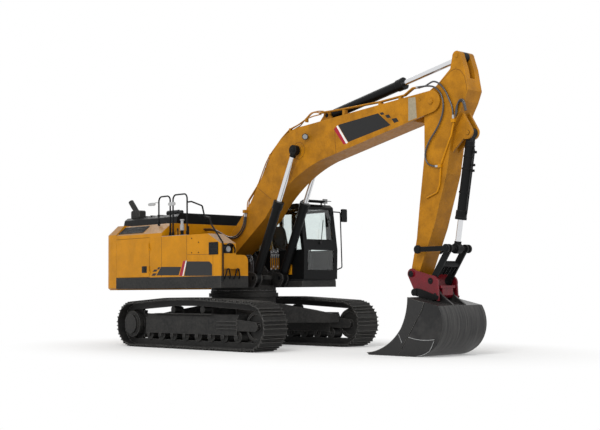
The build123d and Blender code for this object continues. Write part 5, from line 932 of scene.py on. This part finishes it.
    def add_hose_ends(self):
        """The silver fittings at the hoses' ends, and three short bent hoses at the arm's front edge."""
        nuts, ends = [], []
        for route in TIP_HOSE_ROUTES:
            nuts.append(round_mesh(np.add(route[0], (-24, 0, 0)), ALONG, HOSE_RADIUS + 7, 44, 3, 6))
            along = np.subtract(route[-2], route[-1]) / np.linalg.norm(np.subtract(route[-2], route[-1]))
            ends.append(round_mesh(np.add(route[-1], along * 35), along, HOSE_RADIUS + 5, 70, 3, 6))
        add_piece("tip_hose_nuts", nuts, "zinc fitting", "boom")
        add_piece("arm_hose_ends", ends, "zinc fitting", "arm")
        bends = []
        for shift in range(3):
            place = (6090 + 26 * shift, -214 - 15 * shift, 0)
            route = [(0, 0, 4250 + 30 * shift), (10, -6, 4380 + 20 * shift), (60, -8, 4500 + 18 * shift),
                     (150, 0, 4520 + 10 * shift), (190, 10, 4430), (200, 16, 4330)]
            bends.append(hose_mesh(np.add(route, place), 12))
        add_piece("arm_edge_pipes", bends, "hose rubber", "arm")
        x, y, z = FOOT_HOSE_ROUTE[-1]
        ends = [round_mesh((x, y + shift, z - 40), UP, HOSE_RADIUS + 5, 80, 3, 6)
                for shift in (0, FOOT_HOSE_STEP[1])]
        add_piece("foot_hose_ends", ends, "zinc fitting", "boom")

    def add_boom_pipes(self):
        """The thin pipes up the boom's back, with small clips."""
        lines = [tube_mesh(rounded_path(route, 60), 12, 10) for route in BACK_PIPES]
        add_piece("back_pipes", lines, "handled ochre", "boom")
        clips = [block_mesh((x - 22, -247, z - 60), (x + 22, -178, z + 16), 6) for x, z in BACK_CLIPS]
        add_piece("back_clips", clips, "handled ochre", "boom")

    def add_barrel_bands(self):
        """Bands round the bucket cylinder's barrel, and the pipe along it with its clips."""
        low, high = np.array(BUCKET_CYLINDER)
        along = (high - low) / np.linalg.norm(high - low)
        front = np.array((-along[2], 0.0, along[0]))
        rings = [round_mesh(low + along * reach, along, 95, width, 5, 32)
                 for reach, width in ((230, 34), (420, 30), (640, 34), (1060, 30))]
        add_piece("barrel_bands", rings, "black enamel", "bucket_barrel")
        side = front * 118
        pipe = [low + along * 250 + side * 0.8, low + along * 300 + side, low + along * 1430 + side,
                low + along * 1470 + side * 0.75]
        meshes = [tube_mesh(rounded_path(pipe, 40), 11, 10)]
        for reach in (330, 560, 660):
            place = low + along * reach + front * 135
            meshes.append(block_mesh(place - (26, 24, 22), place + (26, 24, 22), 6))
        add_piece("barrel_pipe", meshes, "black enamel", "bucket_barrel")

    def add_bucket_trim(self):
        """The hooked ears that hold the bucket, bright lines painted as highlights along the edges of its wear
        plates, and the ribbed guard between the two plates of the link."""
        ears = [plate_mesh(HOOK_EAR, side, side + 9.0) for side in (288.0, -297.0)]
        add_piece("hook_ears", ears, "black enamel", "bucket")
        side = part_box("bucket_edge")[1].y * 1000.0
        # bright lines painted as highlights along the wear plates' edges, on both sides
        edge_highlights = [side_line(line, y, 4.5) for y in (-side, side) for line in BUCKET_EDGE_HIGHLIGHTS]
        add_piece("bucket_edge_highlights", edge_highlights, "zinc fitting", "bucket")
        top, bottom = np.array(LINK_LINE)
        along = (bottom - top) / np.linalg.norm(bottom - top)
        across = np.array((-along[1], along[0]))
        start, end = top + along * 395, top + along * 560
        meshes = []
        # the sheet and its ribs: place across, half width, half height at the start and at the end
        for y, half, rise, fall in ((0, 207, 8, 8), *((y, 7, 44, 30) for y in (-150, -50, 50, 150))):
            outline = [start - across * rise, end - across * fall, end + across * fall, start + across * rise]
            meshes.append(plate_mesh([tuple(point) for point in outline], y - half, y + half))
        add_piece("link_guard", meshes, "black enamel", "power_link")


class EXCAVATOR_OT_seat(bpy.types.Operator):
    """Adds the operator's padded seat"""
    bl_idname = "excavator.seat"
    bl_label = "Seat"

    def execute(self, context):
        low, high = (np.array(corner) * 1000.0 - (SLEW_AXIS_X, 0.0, 0.0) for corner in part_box("seat"))
        y = (low[1] + high[1]) / 2
        base = block_mesh((low[0] + 260, y - 150, low[2]), (high[0] - 190, y + 150, low[2] + 330), 12)
        stand = add_piece("seat_base", [base], "moulded plastic", "house")
        pads = [
            ("seat_cushion", (high[0] - 290, y, low[2] + 425), (270, 225, 66), 0.0),
            ("seat_back", (low[0] + 128, y, low[2] + 812), (56, 215, 345), -0.25),
        ]
        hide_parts("seat")
        for name, centre, half, lean in pads:
            mesh = self.pad_mesh(name, centre, half, lean)
            pad = new_object(name, mesh, "seat cloth", "house")
            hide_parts("seat")
        return {"FINISHED"}

    def pad_mesh(self, name, centre, half, lean):
        """A crowned pad: a superellipsoid, full in the middle and drawn in at a seam round its edge."""
        u = np.linspace(-math.pi, math.pi, 64, endpoint=False)
        v = np.linspace(-math.pi / 2, math.pi / 2, 33)
        thin = int(np.argmin(half))
        flat = [axis for axis in range(3) if axis != thin]
        # powers that square the outline, fill the edge and flatten the crown
        outline, edge, crown = 0.35, 0.55, 0.8

        def bent(value, share):
            return np.sign(value) * np.abs(value) ** share

        unit = np.zeros((len(v), len(u), 3))
        unit[..., flat[0]] = bent(np.cos(v), edge)[:, None] * bent(np.cos(u), outline)
        unit[..., flat[1]] = bent(np.cos(v), edge)[:, None] * bent(np.sin(u), outline)
        unit[..., thin] = bent(np.sin(v), crown)[:, None]
        seam = 1 - 0.03 * np.exp(-(v / 0.08) ** 2)
        unit[..., flat] *= seam[:, None, None]
        x, y, z = np.moveaxis(unit * half, -1, 0)
        cos, sin = math.cos(lean), math.sin(lean)
        points = np.stack([x * cos + z * sin, y, z * cos - x * sin], axis=-1) + centre
        return surface(name, metres(points), 60.0)


class EXCAVATOR_PT_panel(bpy.types.Panel):
    bl_idname = "EXCAVATOR_PT_panel"
    bl_label = "Excavator"
    bl_space_type = "VIEW_3D"
    bl_region_type = "UI"
    bl_category = "Excavator"

    def draw(self, context):
        for group in (context.scene.excavator_paint, context.scene.excavator_trim):
            for name in group.__annotations__:
                self.layout.prop(group, name)
        for operator in OPERATORS:
            self.layout.operator(operator.bl_idname)


OPERATORS = (
    EXCAVATOR_OT_stage, EXCAVATOR_OT_finishes, EXCAVATOR_OT_markings, EXCAVATOR_OT_hoses,
    EXCAVATOR_OT_fittings, EXCAVATOR_OT_seat,
)
GROUPS = (ExcavatorPaint, ExcavatorTrim)


def register():
    for kind in (*GROUPS, *OPERATORS, EXCAVATOR_PT_panel):
        bpy.utils.register_class(kind)
    bpy.types.Scene.excavator_paint = bpy.props.PointerProperty(type=ExcavatorPaint)
    bpy.types.Scene.excavator_trim = bpy.props.PointerProperty(type=ExcavatorTrim)


def unregister():
    del bpy.types.Scene.excavator_trim
    del bpy.types.Scene.excavator_paint
    for kind in reversed((*GROUPS, *OPERATORS, EXCAVATOR_PT_panel)):
        bpy.utils.unregister_class(kind)


def main():
    register()
    for operator in OPERATORS:
        group, name = operator.bl_idname.split(".")
        getattr(getattr(bpy.ops, group), name)()
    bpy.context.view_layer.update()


if __name__ == "__main__":
    main()
